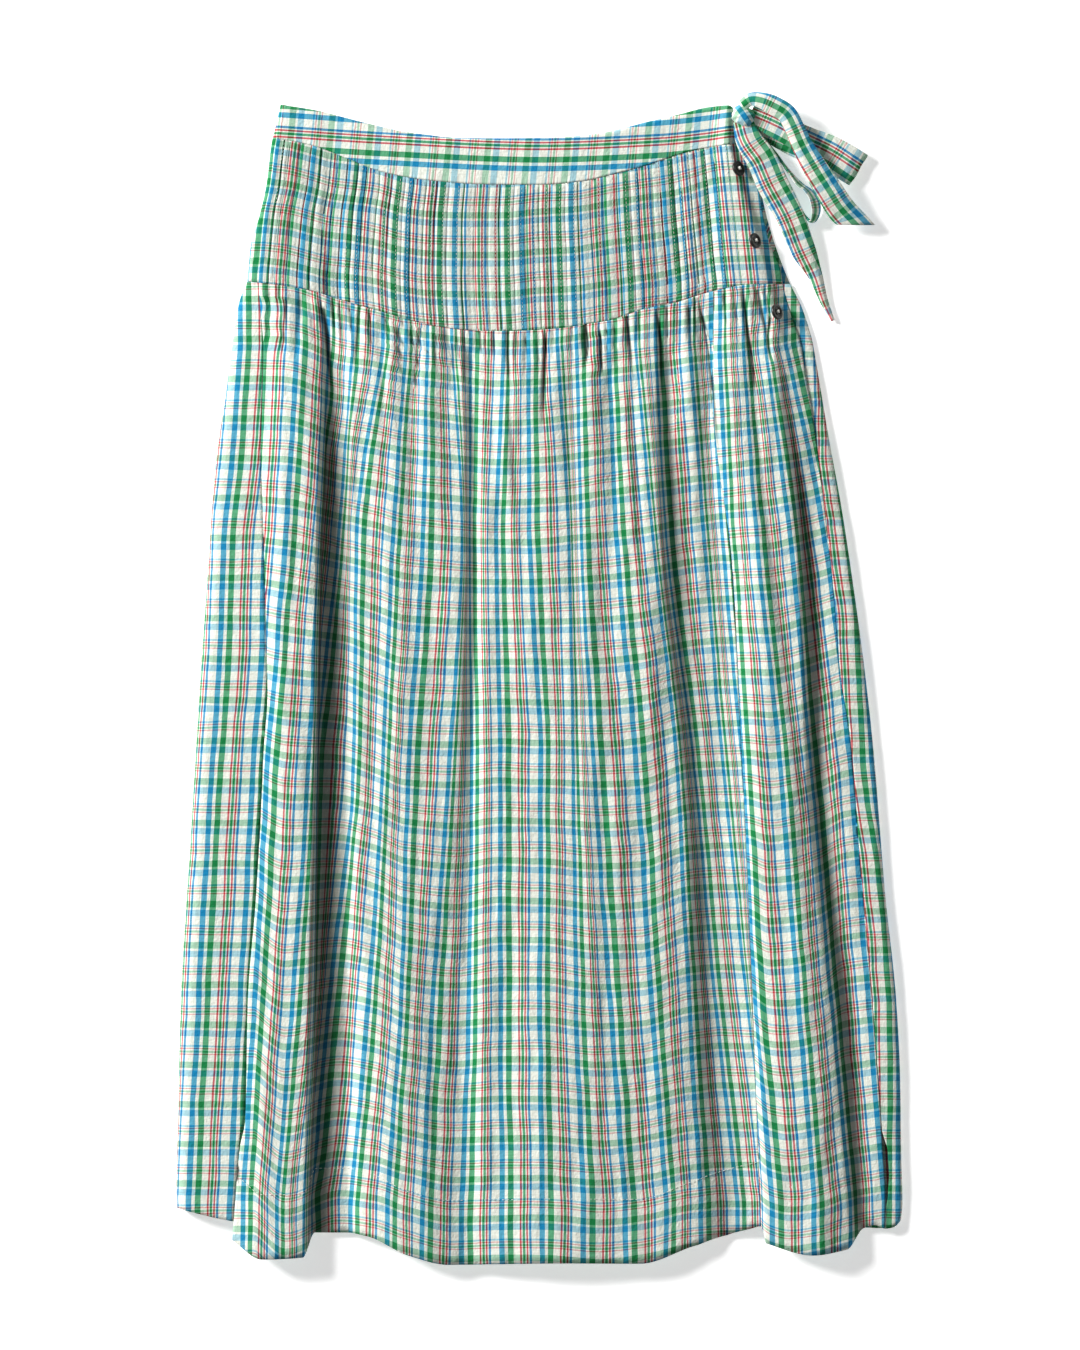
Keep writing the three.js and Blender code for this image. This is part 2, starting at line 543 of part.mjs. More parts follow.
// A flat strap of cloth bent along its rows. It is a little crowned across where it lies, and not
// where it stands on edge, and its edges are thinner than its middle.
function strap(bends) {
  const edgeThickness = 0.3; // as a share of tieCloth
  const standing = 45; // a lean past this, in degrees, stands on edge
  const centres = bends.map(({ x, drop, z }) => new THREE.Vector3(x, toY(drop), z));
  const curve = new THREE.CatmullRomCurve3(centres, false, 'centripetal');
  const along = (column, otherwise) => smooth(bends.map((bend, i) => [i, bend[column] ?? otherwise]));
  const [width, turn, crown] = [along('width'), along('turn', 0), along('crown', ribbonCrown)];
  const [lean, slant] = [along('lean', 0), along('slant', 0)];
  const count = (bends.length - 1) * ribbonSteps;
  const sheet = (face) => Array.from({ length: count + 1 }, (unused, r) => {
    const bend = r / ribbonSteps;
    const centre = curve.getPoint(r / count);
    const ahead = curve.getTangent(r / count);
    const [turned, leant] = [turn(bend), lean(bend)].map(THREE.MathUtils.degToRad);
    const flat = Math.cos(leant);
    const across = new THREE.Vector3(flat * Math.cos(turned), flat * Math.sin(turned), Math.sin(leant));
    const up = ahead.clone().cross(across).normalize();
    const sideways = up.clone().cross(ahead);
    return ribbonAcross.map((u) => {
      const edgeShare = Math.abs(u) === 1 ? edgeThickness : 1;
      const lift = lean(bend) > standing ? 0 : crown(bend) * (1 - u * u);
      const point = centre.clone().addScaledVector(sideways, (u * width(bend)) / 2);
      point.addScaledVector(up, lift + (face * edgeShare * tieCloth) / 2);
      point.addScaledVector(ahead, u * slant(bend));
      return { at: (u + 1) / 2, point };
    });
  });
  return wall(sheet(1), sheet(-1));
}

// Solids for cutting one piece by another
function solid(geometry) {
  const bare = geometry.clone();
  bare.deleteAttribute('normal');
  bare.deleteAttribute('uv');
  const merged = mergeVertices(bare, 1e-4);
  const vertProperties = new Float32Array(merged.attributes.position.array);
  const triVerts = new Uint32Array(merged.index.array);
  return new wasm.Manifold(new wasm.Mesh({ numProp: 3, vertProperties, triVerts }));
}

function geometryOf(manifold) {
  const mesh = manifold.getMesh();
  const geometry = new THREE.BufferGeometry();
  geometry.setAttribute('position', new THREE.BufferAttribute(mesh.vertProperties, 3));
  geometry.setIndex(new THREE.BufferAttribute(mesh.triVerts, 1));
  return geometry;
}

// The knot, a wrapped barrel that flattens on its faces. grow makes it larger all round.
function knotShape(grow) {
  const flatter = 0.75;
  const geometry = new THREE.SphereGeometry(1, 18, 10);
  const spot = geometry.attributes.position;
  for (let i = 0; i < spot.count; i += 1) {
    const [x, y, z] = [spot.getX(i), spot.getY(i), spot.getZ(i)]
      .map((value) => Math.sign(value) * Math.abs(value) ** flatter);
    spot.setXYZ(i, x * (knot.across + grow), y * (knot.along + grow), z * (knot.high + grow));
  }
  geometry.rotateZ(THREE.MathUtils.degToRad(knot.turn));
  geometry.translate(knot.x, toY(knot.drop), knot.z);
  return solid(geometry);
}

// The end of the waistband with a gap round it, which the knot is seated against.
function bandEnd() {
  const reach = 12; // past the knot on the band's side
  const high = 6.5; // over the band's two layers
  const corners = [[0, -reach], [0, 0], [bandEndDrop, bandEndDrop], [bandEndDrop, bandEndDrop + reach]];
  const rightSide = corners.map(([level, drop]) => new THREE.Vector2(bandEndX(level) + seamGap, toY(drop)));
  const left = bandEndX(0) - reach;
  const leftSide = [bandEndDrop + reach, -reach].map((drop) => new THREE.Vector2(left, toY(drop)));
  const plan = new THREE.Shape([...rightSide, ...leftSide]);
  return solid(new THREE.ExtrudeGeometry(plan, { depth: high, bevelEnabled: false }));
}

const knotGrown = knotShape(seamGap);
const tied = (bends) => geometryOf(solid(strap(bends)).subtract(knotGrown));

// A four-hole horn button with a raised rim and a dished middle. It tips over the placket's edge
// and is lowered until its rim is a seam's gap from the cloth.
function button({ x, drop, tilt, facing }) {
  const round = 0.65; // of the rim's edges
  const rimWidth = 1.7;
  const dish = 0.8;
  const middle = buttonThickness - dish;
  const profile = [
    [0, 0], [buttonRadius - round, 0], [buttonRadius, round], [buttonRadius, buttonThickness - round],
    [buttonRadius - round, buttonThickness], [buttonRadius - rimWidth, buttonThickness],
    [buttonRadius - rimWidth - dish, middle], [0, middle],
  ].map(([radius, height]) => new THREE.Vector2(radius, height));
  let body = solid(new THREE.LatheGeometry(profile, 24));
  for (let i = 0; i < 4; i += 1) {
    const angle = Math.PI * (0.25 + i / 2);
    const hole = new THREE.CylinderGeometry(buttonHoleRadius, buttonHoleRadius, 3 * buttonThickness, 6);
    hole.translate(buttonHoleCircle * Math.cos(angle), 0, buttonHoleCircle * Math.sin(angle));
    body = body.subtract(solid(hole));
  }
  const geometry = geometryOf(body);
  geometry.rotateX(Math.PI / 2);
  geometry.rotateY(THREE.MathUtils.degToRad(tilt));
  geometry.rotateZ(THREE.MathUtils.degToRad(facing));
  const spot = geometry.attributes.position;
  let seat = 0;
  for (let i = 0; i < spot.count; i += 1) {
    seat = Math.max(seat, frontHeight(x + spot.getX(i), drop - spot.getY(i)) - spot.getZ(i));
  }
  geometry.translate(x, toY(drop), seat + seamGap);
  return geometry;
}

const bandBackDrop = (x, v) => THREE.MathUtils.lerp(edge.bandTopBack(x), edge.bandSeam(x) - halfGap, v);
const behindRows = panelRows.map((dropAt) => (x) => dropAt(x, edge.hemBehind(x)));

// Materials
const checkedCotton = () => new THREE.MeshStandardMaterial({ color: '#d6dfd2', roughness: 0.9, metalness: 0 });
const darkHorn = () => new THREE.MeshStandardMaterial({ color: '#2b2724', roughness: 0.4, metalness: 0 });

const skirt = new THREE.Group();
function add(name, geometry, material) {
  const mesh = new THREE.Mesh(geometry, material);
  mesh.name = name;
  skirt.add(mesh);
}

add('waistband_front', frontBand(), checkedCotton());
add('waistband_back', behind(backBandPath, bandRows.map((v) => (x) => bandBackDrop(x, v)), bandCloth),
  checkedCotton());
add('yoke_front', frontYoke(), checkedCotton());
add('yoke_back', behind(backYokePath, yokeRows.map((v) => (x) => yokeDrop(x, v)), cloth), checkedCotton());
add('skirt_front', skirtPanel(0, panelSeam, gathersInFront), checkedCotton());
add('skirt_side_placket', skirtPanel(panelSeam, placketEdge, gathersInSide), checkedCotton());
add('skirt_side_plain', behind(plainSidePath, behindRows, cloth), checkedCotton());
add('skirt_back', behind(backPath, behindRows, cloth), checkedCotton());
buttons.forEach((place, i) => add(`button_${i + 1}`, button(place), darkHorn()));
add('tie_knot', geometryOf(knotShape(0).subtract(bandEnd())), checkedCotton());
add('tie_tail_long', tied(longTail), checkedCotton());
add('tie_tail_upper', tied(upperTail), checkedCotton());
add('tie_loop_flat', tied(flatLoop), checkedCotton());
add('tie_loop_standing', tied(standingLoop), checkedCotton());

// The origin is under the middle of the skirt's box.
const box = new THREE.Box3().setFromObject(skirt);
const middle = box.getCenter(new THREE.Vector3());
skirt.position.set(-middle.x, -middle.y, -box.min.z);

export default skirt;
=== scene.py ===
"""A midi skirt in crinkled madras cotton, laid out flat and seen from straight above.

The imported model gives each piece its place. Every cloth piece here is a thin closed shell whose
outer sheet is a grid worked out with numpy: the fold lines of the front give the large form, and
creases, gathers, pin tucks and fine crinkles are added to it. A piece's UV map holds millimetres of
cloth, across and down, so the check runs with the grain and closes up where a fold hides cloth.

Places are in millimetres: x to the viewer's right, and drop down from the waist's left tip.
"""
import math

import bpy
import numpy as np
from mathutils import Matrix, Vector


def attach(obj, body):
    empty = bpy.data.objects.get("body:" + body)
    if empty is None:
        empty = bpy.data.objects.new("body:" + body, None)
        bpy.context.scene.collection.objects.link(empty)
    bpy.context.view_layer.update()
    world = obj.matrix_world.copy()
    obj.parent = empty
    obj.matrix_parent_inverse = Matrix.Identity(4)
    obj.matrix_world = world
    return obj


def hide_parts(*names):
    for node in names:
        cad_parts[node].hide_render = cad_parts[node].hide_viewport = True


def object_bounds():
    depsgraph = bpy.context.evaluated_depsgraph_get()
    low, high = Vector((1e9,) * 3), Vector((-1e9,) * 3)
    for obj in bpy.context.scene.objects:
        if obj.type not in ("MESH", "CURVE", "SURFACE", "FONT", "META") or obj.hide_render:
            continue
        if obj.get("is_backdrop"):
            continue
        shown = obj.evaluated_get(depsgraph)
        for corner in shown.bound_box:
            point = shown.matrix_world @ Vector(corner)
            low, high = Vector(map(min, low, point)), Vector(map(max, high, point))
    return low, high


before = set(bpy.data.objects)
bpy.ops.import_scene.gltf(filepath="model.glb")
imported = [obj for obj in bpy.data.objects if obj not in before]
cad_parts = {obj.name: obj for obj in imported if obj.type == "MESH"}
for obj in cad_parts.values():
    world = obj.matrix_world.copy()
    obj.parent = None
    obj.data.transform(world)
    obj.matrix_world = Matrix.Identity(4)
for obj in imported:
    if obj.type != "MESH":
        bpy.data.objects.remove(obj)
cad_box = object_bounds()

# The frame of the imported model
MM = 0.001
MIDDLE_DROP = 437.75  # the drop of the origin
SHIFT_X = 0.09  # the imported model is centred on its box
SHIFT_Y = -0.25
WALL = 0.9  # a cloth shell's thickness
BAND_WALL = 1.4
SEAM_GAP = 0.1  # seams are sewn shut, so their edges nearly meet
BUTTON_GAP = 0.3
FLOOR_GAP = 0.3  # the floor lies this far under the cloth

# The check: the cloth's repeat across and down, and its stripes as (end, colour) in shares of it
WARP_REPEAT = 31.4
WEFT_REPEAT = 30.2
GREEN, BLUE, RED, WHITE = "#067A3E", "#047EB0", "#B4202B", "#E3E6DB"
DEEP_BLUE = "#066AA5"
WARP_STRIPES = [
    (0.131, BLUE), (0.209, WHITE), (0.350, GREEN), (0.511, WHITE), (0.557, RED), (0.585, WHITE),
    (0.648, GREEN), (0.672, WHITE), (0.717, RED), (0.744, WHITE), (0.802, DEEP_BLUE), (1.0, WHITE),
]
WEFT_STRIPES = [
    (0.158, GREEN), (0.215, WHITE), (0.375, BLUE), (0.590, WHITE), (0.638, BLUE), (0.663, WHITE),
    (0.695, RED), (0.729, WHITE), (0.779, GREEN), (0.803, WHITE), (0.834, RED), (1.0, WHITE),
]
WEFT_SHARE = 0.33  # how much of the colour comes from the weft
BLUE_CENTRE = 0.062 * WARP_REPEAT  # the wide stripes' middles, in millimetres of cloth
GREEN_CENTRE = 0.278 * WARP_REPEAT
WEFT_DARKEST = 0.188  # share of the repeat at the middle of its green and blue bars

# Edges and seams, as rows of (x, drop)
BAND_TOP_FRONT = [
    (-197, 0), (-178, 5.3), (-161, 11.4), (-145.5, 16.7), (-129, 20.5), (-106, 23.9), (-76, 25.8),
    (-30, 26.2), (15.5, 25.4), (48, 22), (82, 13.7), (104.5, 8.4), (131, 2.3), (144, 1.5), (148, 3.5),
]
BAND_TOP_BACK = [
    (-197, 0.5), (-177, 3.5), (-165, 5.8), (-153, 9), (-139, 12.7), (-117, 18), (-104, 21),
    (-84, 23.4), (-72, 25.2), (-30, 27.2), (50, 24), (100, 11), (131, 4), (147, 4),
]
BAND_SEAM = [
    (-201, 26), (-172, 32), (-148, 41), (-119, 52), (-82, 58.5), (-38, 61.4), (0, 61.6), (32, 59),
    (56, 53.7), (81, 47), (102, 40), (115, 36), (143, 31), (150, 30),
]
YOKE_SEAM = [
    (-224, 135), (-193, 139), (-171, 143), (-154, 148.5), (-137, 153.5), (-116, 159.6), (-98, 165),
    (-78, 169.5), (-45, 173), (-20, 173), (16, 171), (35, 168), (53, 165), (81, 156), (103, 151.6),
    (122, 145.5), (140, 141), (157, 138), (192, 137),
]
HEM_BEHIND = [
    (-275, 840), (-264, 843), (-240, 848.5), (-230, 850), (0, 853), (240, 855), (262, 856),
    (269, 855), (276, 849),
]

# Outlines and side seams, as rows of (drop, x)
OUTLINE_LEFT = [
    (0, -197), (17, -201), (30, -204), (62, -208), (84, -213), (109, -220), (135, -222.5),
    (150, -228.5), (188, -234.5), (223, -239), (261, -245), (302, -249), (358, -252.5),
    (425, -257.5), (500, -262), (559, -265.5), (682, -273), (773, -275), (826, -276.3), (850, -275),
]
SEAM_LEFT = [
    (0, -194), (30, -200.5), (62, -204.5), (84, -209), (115, -212), (135, -213.5), (188, -210),
    (261, -211.5), (332, -209.5), (420, -207), (448, -206.5), (492, -209.5), (536, -211.5),
    (606, -215.5), (682, -221.5), (773, -223.5), (793, -227.5), (839, -231.5), (864, -233.5),
]
SEAM_RIGHT = [
    (0, 147), (30, 150), (42, 158.5), (53, 163), (66, 167), (84, 170), (104, 174.5), (125, 183),
    (136, 185), (149, 188), (167, 193.5), (180, 198), (207, 202.5), (249, 209.5), (287, 214.5),
    (347, 221.5), (391, 225.5), (435, 229), (478, 236), (529, 240.5), (565, 243), (644, 250),
    (727, 256.5), (796, 261), (830, 263), (856, 262.5),
]
OUTLINE_RIGHT = [
    (60, 166), (68, 169), (82, 172), (109, 180), (135, 190), (153, 199), (167, 204), (180, 207.7),
    (196, 210.5), (226, 215.5), (264, 222), (302, 229), (347, 236), (435, 248), (500, 255), (551, 259),
    (600, 263), (682, 271.5), (740, 274.5), (806, 275.5), (837, 276.3), (850, 275),
]
SLIT_AT_HEM = [(780, 0), (798, 4), (822, 3.4), (842, 0.4)]
BAND_END_DROP = 30  # where the band's right end meets the yoke

# The lines that the cloth's folds follow down the front: the drop where each ends at the hem, its
# x at each station (none where it is a seam), and its height there.
STATIONS = [30, 150, 226, 347, 530, 682, 860]
FOLD_LINES = [
    (864, None, [4.6, 7, 10, 14, 16, 16, 15]),
    (878.5, [-190, -193, -193, -193, -193, -201, -211], [4.6, 8, 14, 19, 21, 21, 20]),
    (877, [-168.5, -166, -167, -170.5, -173, -176.5, -179.5], [4.5, 7.5, 13, 18, 20, 20, 19]),
    (859, [-162, -161, -161, -163, -164.5, -167, -171], [4, 5.5, 5, 4.2, 4, 4, 4]),
    (859, [-156, -153, -149.5, -148.5, -148.5, -148.5, -147], [4, 5.5, 5, 4.2, 4, 4, 4]),
    (861, [-148, -144, -142, -139.5, -138, -136.5, -133.5], [4.3, 7.5, 11, 13, 12, 12, 12]),
    (876, [-121, -117.5, -106, -102, -102, -102, -98.5], [4.4, 8, 13, 16, 17, 17, 17]),
    (883, [-64, -62, -59.5, -61, -67.5, -70.5, -68], [4.3, 7.5, 12, 14.5, 14, 13, 13]),
    (883, [-53, -52, -50.5, -48.5, -52, -54.5, -53], [4.1, 6.5, 8.5, 9.8, 10.2, 10, 10.4]),
    (882.5, [-45, -43.5, -41.5, -39, -40.5, -41.5, -39], [4.3, 7.5, 12, 14, 14, 14, 14]),
    (881.5, [0.5, 4, 8, 12, 15.5, 15.5, 15.5], [4.5, 8, 13, 16, 18, 18, 18]),
    (882, [46, 53.5, 61, 65, 69, 72.5, 76.5], [4.4, 8, 13, 16, 16, 16, 15]),
    (868, [88, 88, 88, 91.5, 108.5, 114.5, 120.5], [4.4, 7.5, 12.5, 14, 12, 12, 12]),
    (861, [103, 100.5, 97, 103.5, 122, 130.5, 143], [4, 6, 6, 5, 4.3, 4.3, 5]),
    (858, [114.5, 114.5, 113, 118, 131, 140, 152.5], [4.4, 7.5, 11, 8, 6, 6, 7]),
    (856, [123.5, 124, 127.5, 132.5, 143, 151.5, 160.5], [4.1, 6.5, 6, 6, 7, 8, 8]),
    (854, [131, 132.5, 132.5, 145.5, 155.5, 162, 168.5], [4.6, 7.5, 9, 10, 10, 10.5, 10]),
    (866.5, [135.5, 136.5, 137, 151, 160.5, 167.5, 172], [6.5, 8.5, 12, 13, 14, 15, 15]),
    (875.5, [140, 148.5, 160, 167.5, 179, 198, 207], [8.5, 11, 14, 17, 19, 19, 19]),
    (871, [143, 170, 181.5, 195, 202.5, 219, 234.5], [9, 12, 13, 15, 15, 15, 14]),
    (856, [145, 177, 191, 204, 214.5, 232, 246.5], [8, 10.5, 7.5, 5.2, 4.8, 4.8, 5.2]),
    (853, [147, 182.5, 197, 213, 228.5, 245, 255.5], [5.8, 6.5, 7, 7.5, 8, 8, 8]),
    (856, None, [4, 4, 6, 8, 8, 8, 7]),
]
PANEL_SEAM = 16  # the fold line that is the right front panel seam
PLACKET_EDGE = len(FOLD_LINES) - 1

# Where the blue stripes run down the front, as x at each of these drops, one row for each repeat
GRAIN_DROPS = [183.9, 332.1, 499.3, 681.7, 833.7]
FRONT_GRAIN = [
    (-184, -193, -206.3, -216.2, -225.3), (-160.5, -167.5, -175, -187.3, -199.5),
    (-142.5, -152.8, -169, -171.5, -179), (-118.9, -139.5, -141, -160.7, -173.7),
    (-101.5, -111.3, -118.9, -129.6, -143.6),
    (-85.5, -89, -99.9, -105.3, -115.9), (-66.5, -58.1, -67.7, -81.2, -89.3),
    (-52.8, -53.6, -52.1, -53.6, -59.4), (-27, -32.8, -30.3, -30, -28.5),
    (-8.7, -7.7, 1.1, 0.4, 1.9), (14.1, 22.9, 25.9, 27.7, 33.1),
    (27.7, 31.2, 40.4, 53.1, 65.3), (52.8, 58.6, 73.3, 85.2, 96.1),
    (73.3, 86.6, 104.5, 113.6, 122.7), (87.8, 96.1, 116.7, 133.4, 150.9),
    (114.4, 125.8, 139.5, 158.5, 176.7), (129.6, 138.7, 153.9, 173.7, 195),
]
SIDE_GRAIN = [
    (137.2, 143.3, 153.9, 163.8, 176.7), (154.7, 164.8, 182.3, 196.5, 208.6),
    (171.4, 190.4, 205.6, 221.5, 236), (186.6, 217, 236, 249.7, 261.8),
]
LEFT_STRIP_BLUE = [
    (184, -227.5), (228, -230.5), (271, -234), (332, -240), (408, -242.5), (499, -248.5),
    (591, -254), (682, -259), (773, -264), (834, -267),
]
RIGHT_STRIP_GREEN = [(271, 224.5), (332, 233), (408, 242), (499, 246), (591, 258.5), (682, 266.5)]

# How far the weft's rows sag below a level line, as x and the sag at each of these drops
SAG_DROPS = [275, 458, 638, 819]
FRONT_SAG = [
    (-216, -34, -28, -26.5, -22), (-193, -33, -21, -13, -5), (-152, -20, -17.5, -17.5, -18),
    (-125, -14.5, -7.5, -11.5, -15), (-102, -9, 1, 0, -7), (-64, -4, 2, 5.5, 1.5), (-30, 0, 0, 0, 0),
    (0, -1.5, 1, 0, -0.5), (46, -7.5, 1.5, 6, 3), (76, -12, -1, 5, 0), (114, -17.5, -12, -7, -8),
    (136, -21, -14, -9, -10),
]
SIDE_SAG = [
    (137, 3, 8, 10, 10), (156, 1, 9, 8.5, 5), (175, -1.5, 10, 17, 20), (190, -4.5, 7, 16, 23.5),
    (213, -10.5, -1, 10, 20), (232, -17.5, -7, -1, 14), (262, -25, -12, -5, 8),
]
YOKE_SAG = [
    (-209, -26), (-193, -24), (-174, -19), (-159, -15), (-144, -13), (-125, -10), (-106, -4.5),
    (-83, -1), (-60, 0), (-30, 0), (0, -3), (27, -4.5), (46, -7.6), (76, -13), (95, -16),
    (114, -20.5), (137, -26.6), (168, -27.5),
]
FRONT_ROW_DROP = 186.2  # a dark row's drop where the sag is none, on the front panels
YOKE_ROW_DROP = 118.6

# Pin tucks, from the left: how much of each is seen low on the yoke, and the cloth that it takes
TUCK_SEEN = [
    8, 4.6, 8.7, 8.7, 9.1, 8, 5.7, 8, 8.7, 7.2, 10.3, 10.6, 10.3, 6.8, 9.9, 9.1, 9.1, 12.2, 9.1, 10.6,
    9.1, 10.6, 9.1, 10.6, 9.1, 11.4, 10.6, 9.9, 9.9, 11.4, 9.9, 6.8, 10.6, 7.2, 10.3, 5.7, 7.6, 5.3,
    8, 7.6, 10.6,
]
TUCK_TAKES = [
    26, 20.3, 24.5, 22.9, 24.6, 26.2, 20.9, 24.4, 26.5, 22.4, 24.6, 22.6, 25, 22.2, 26.1, 22, 22.4,
    26.5, 25, 26.5, 23.7, 23.9, 22.5, 26.7, 20.4, 26.1, 25.3, 24.8, 24, 25.4, 24.6, 20.1, 25.8, 21.8,
    27.2, 23.2, 24.3, 21, 25, 22.9, 24,
]
TUCK_COUNT = len(TUCK_SEEN)
TUCK_END = [(30, 142.5), (137, 154)]  # drop and x of the last tuck
TUCK_CLOTH_START = 1.2
TUCK_STITCH = 4.5  # from a tuck's edge
TUCK_BEFORE = 3  # the profile's first rows lie on the tuck before
TUCK_PROFILE = [  # past the edge in mm, height, cloth short of the edge, painted crease shade
    (-1.5, 0.1, None, 0), (-1.05, -0.1, None, 0.3), (-0.6, -0.35, None, 1),
    (0, -0.4, 14.5, 1), (0.1, 0, 8, 1), (-0.3, 0.4, 0.8, 1), (-0.3, 0.8, 0.2, 0.3),
    (0.25, 1.05, None, 0), (1.2, 1.05, None, 0), (2.6, 0.9, None, 0), (3.7, 0.75, None, 0),
    (4.3, 0.5, None, 0.12), (4.8, 0.48, None, 0.12), (5.6, 0.48, None, 0), (6.6, 0.32, None, 0),
]

# Gathers under the yoke
GATHERS_IN_FRONT = 38
GATHERS_IN_SIDE = 7
GATHER_HEIGHT = 2.7
RUFFLE = 0.7  # the small puckers that the seam's stitches draw up

# Creases on the front: path as (drop, x) places, half width and depth, less than nothing for a ridge
CREASES = [
    ([(150, -192.5), (172, -194), (196, -197.5)], 1.3, 2.2),
    ([(146, -205), (168, -206), (190, -208)], 1.2, 1.5),
    ([(150, -181), (175, -183.5), (205, -186)], 1.6, 1.5),
    ([(156, -164), (180, -162), (226, -158)], 2.2, 2.4),
    ([(156, -137), (178, -138.5), (206, -141)], 1.4, 1.7),
    ([(163, -122), (190, -120), (262, -117.5), (310, -118)], 3.5, 1.2),
    ([(170, -107), (186, -106.5), (208, -105.5)], 1.4, 1.6),
    ([(171, -91), (198, -93), (230, -96.5)], 1.5, 2.3),
    ([(178, -79.5), (190, -79.2), (202, -78)], 1.3, 1.8),
    ([(184, -66.5), (200, -66), (224, -65)], 1.5, 1.9),
    ([(173, -45.2), (182, -45), (193, -44)], 1.3, 1.8),
    ([(173, -24), (192, -23.7), (220, -22)], 1.4, 2.2),
    ([(175, 5), (210, 3.6), (256, 2.2)], 1.6, 2.4),
    ([(169, 35.3), (184, 36.9), (206, 33)], 1.4, 2.2),
    ([(178, 46.7), (192, 46.9), (212, 48)], 1.4, 1.9),
    ([(163, 66), (186, 69), (214, 71)], 1.5, 1.6),
    ([(157, 89), (186, 92), (226, 93)], 1.8, 1.7),
    ([(156, 114.4), (172, 114.6), (192, 116)], 1.5, 2),
    ([(149, 120.5), (188, 129.6), (222, 132), (280, 137.5)], 1.8, 2),
    ([(142, 154.7), (168, 157.5), (200, 162), (232, 165)], 1.6, 2.6),
    ([(142, 166), (160, 169.5), (182, 174)], 1.4, 2.2),
    ([(163, 176), (177, 173.8), (200, 176.5)], 1.4, 1.9),
    ([(150, 164.5), (226, 164.6), (306, 165.5)], 5, 0.9),
    ([(225, -12.5), (320, -12), (416, -10)], 5.5, 1.1),
    ([(188, 55), (300, 56), (408, 60)], 5, 1.1),
    ([(190, -163.5), (262, -162.5), (347, -166), (530, -168.5), (682, -170.5), (872, -175)], 1.7, 2.2),
    ([(262, -138.5), (347, -140), (420, -141)], 2.6, 1.4),
    ([(176, -51), (226, -50.5), (347, -48.8), (530, -52), (682, -54.5), (800, -54)], 3.6, 1.4),
    ([(226, 21), (330, 26), (420, 28.5), (590, 29.5)], 3.4, 1.2),
    ([(206, -95), (262, -96), (330, -99)], 3.2, 1.4),
    ([(206, -24), (262, -20), (330, -17)], 3, 1.4),
    ([(214, 71), (300, 75), (400, 82)], 3.3, 1.4),
    ([(226, 112), (347, 114), (470, 126)], 3.6, 1.4),
    ([(226, 164), (300, 172), (420, 184)], 3.4, 1.3),
    ([(300, -84), (420, -82), (560, -90), (700, -98)], 7, 0.9),
    ([(420, -128), (560, -126), (720, -128)], 5, 1),
    ([(470, -20), (620, -22), (800, -24)], 7, 0.9),
    ([(480, 47), (620, 50), (820, 56)], 7, 1.1),
    ([(380, 92), (520, 98), (640, 103)], 5, 1),
    ([(330, 178), (440, 190), (560, 204)], 5, 1.2),
    ([(560, 184), (680, 190), (810, 198)], 6, 1),
    ([(520, -196), (640, -205), (780, -214)], 6, 1.1),
    ([(700, 2), (780, 1), (868, -1)], 6, -0.9),
    ([(690, -80), (780, -80), (872, -82)], 5, 1),
    ([(43, 103), (90, 106), (149, 110.6)], 3.5, 1.1),
    ([(58, 129.6), (100, 130), (135, 131)], 3, 0.9),
    ([(74, -163), (110, -164), (142, -165)], 3, 0.6),
]
CREASE_SHADE_FROM = 1.5  # creases deeper than this get a line of painted shade
PAINTED_TROUGH_SHADOWS = [  # painted shadow in troughs, right beside the fold on their left: path, reach to the right and shade
    ([(190, -163), (347, -166), (530, -168.5), (682, -171), (876, -177)], 26, 0.4),
    ([(210, 96), (347, 100), (530, 117), (682, 125), (860, 137)], 20, 0.22),
    ([(176, 186), (347, 199), (530, 209), (682, 226), (860, 240)], 14, 0.3),
]

# Buttons: x, drop, how far each tips from level and the way it faces, from +X
BUTTON_RADIUS = 5.9
BUTTON_THICKNESS = 2.3
BUTTON_HOLE_RADIUS = 0.75
BUTTON_HOLE_CIRCLE = 1.6
BUTTONS = [(150.5, 50, 47, 22), (163, 105, 49, 18), (179.5, 159, 53, 15)]

# The tie bow: for each bend x, drop, z, width, turn of the way across from +X, lean and slant
KNOT = {"x": 155.1, "drop": 9.8, "z": 8.4, "across": 9.1, "along": 7.9, "high": 8.1, "turn": -25}
LONG_TAIL = [
    (154.6, 13, 10, 15, 18, 0, 0), (159, 28, 11.5, 20, 25, 0, 0), (169, 43, 11.5, 23, 30, 0, 0),
    (177, 61, 11, 24, 30, 0, 0), (190, 85, 9.5, 21.5, 28, 0, 0), (200.5, 111, 7, 19, 27, 0, 0),
    (210, 131, 4.5, 11, 24, 0, 0), (216.5, 150, 3, 6.5, 20, 0, 0), (223.5, 165, 2, 3, 18, 0, 0),
]
UPPER_TAIL = [
    (154.5, 1.5, 13.5, 9, 115, 0, 0), (160.5, -2.5, 15.5, 10, 108, 0, 0),
    (169, -1.5, 17, 12.5, 78, 0, 0), (178, 2.5, 17.5, 15, 62, 0, 0), (187.5, 8.5, 17.5, 15, 44, 0, 0),
    (193.5, 19, 17.5, 15, 30, 0, 0), (199.5, 32.5, 17.5, 16, 27, 0, 0),
    (208.5, 48.5, 17, 18.5, 30, 0, 0), (219.5, 66, 15.5, 21, 33, 0, 0), (229, 80.5, 13, 22, 36, 0, 0),
    (240.5, 92.5, 10, 21, 37, 0, 10.5),
]
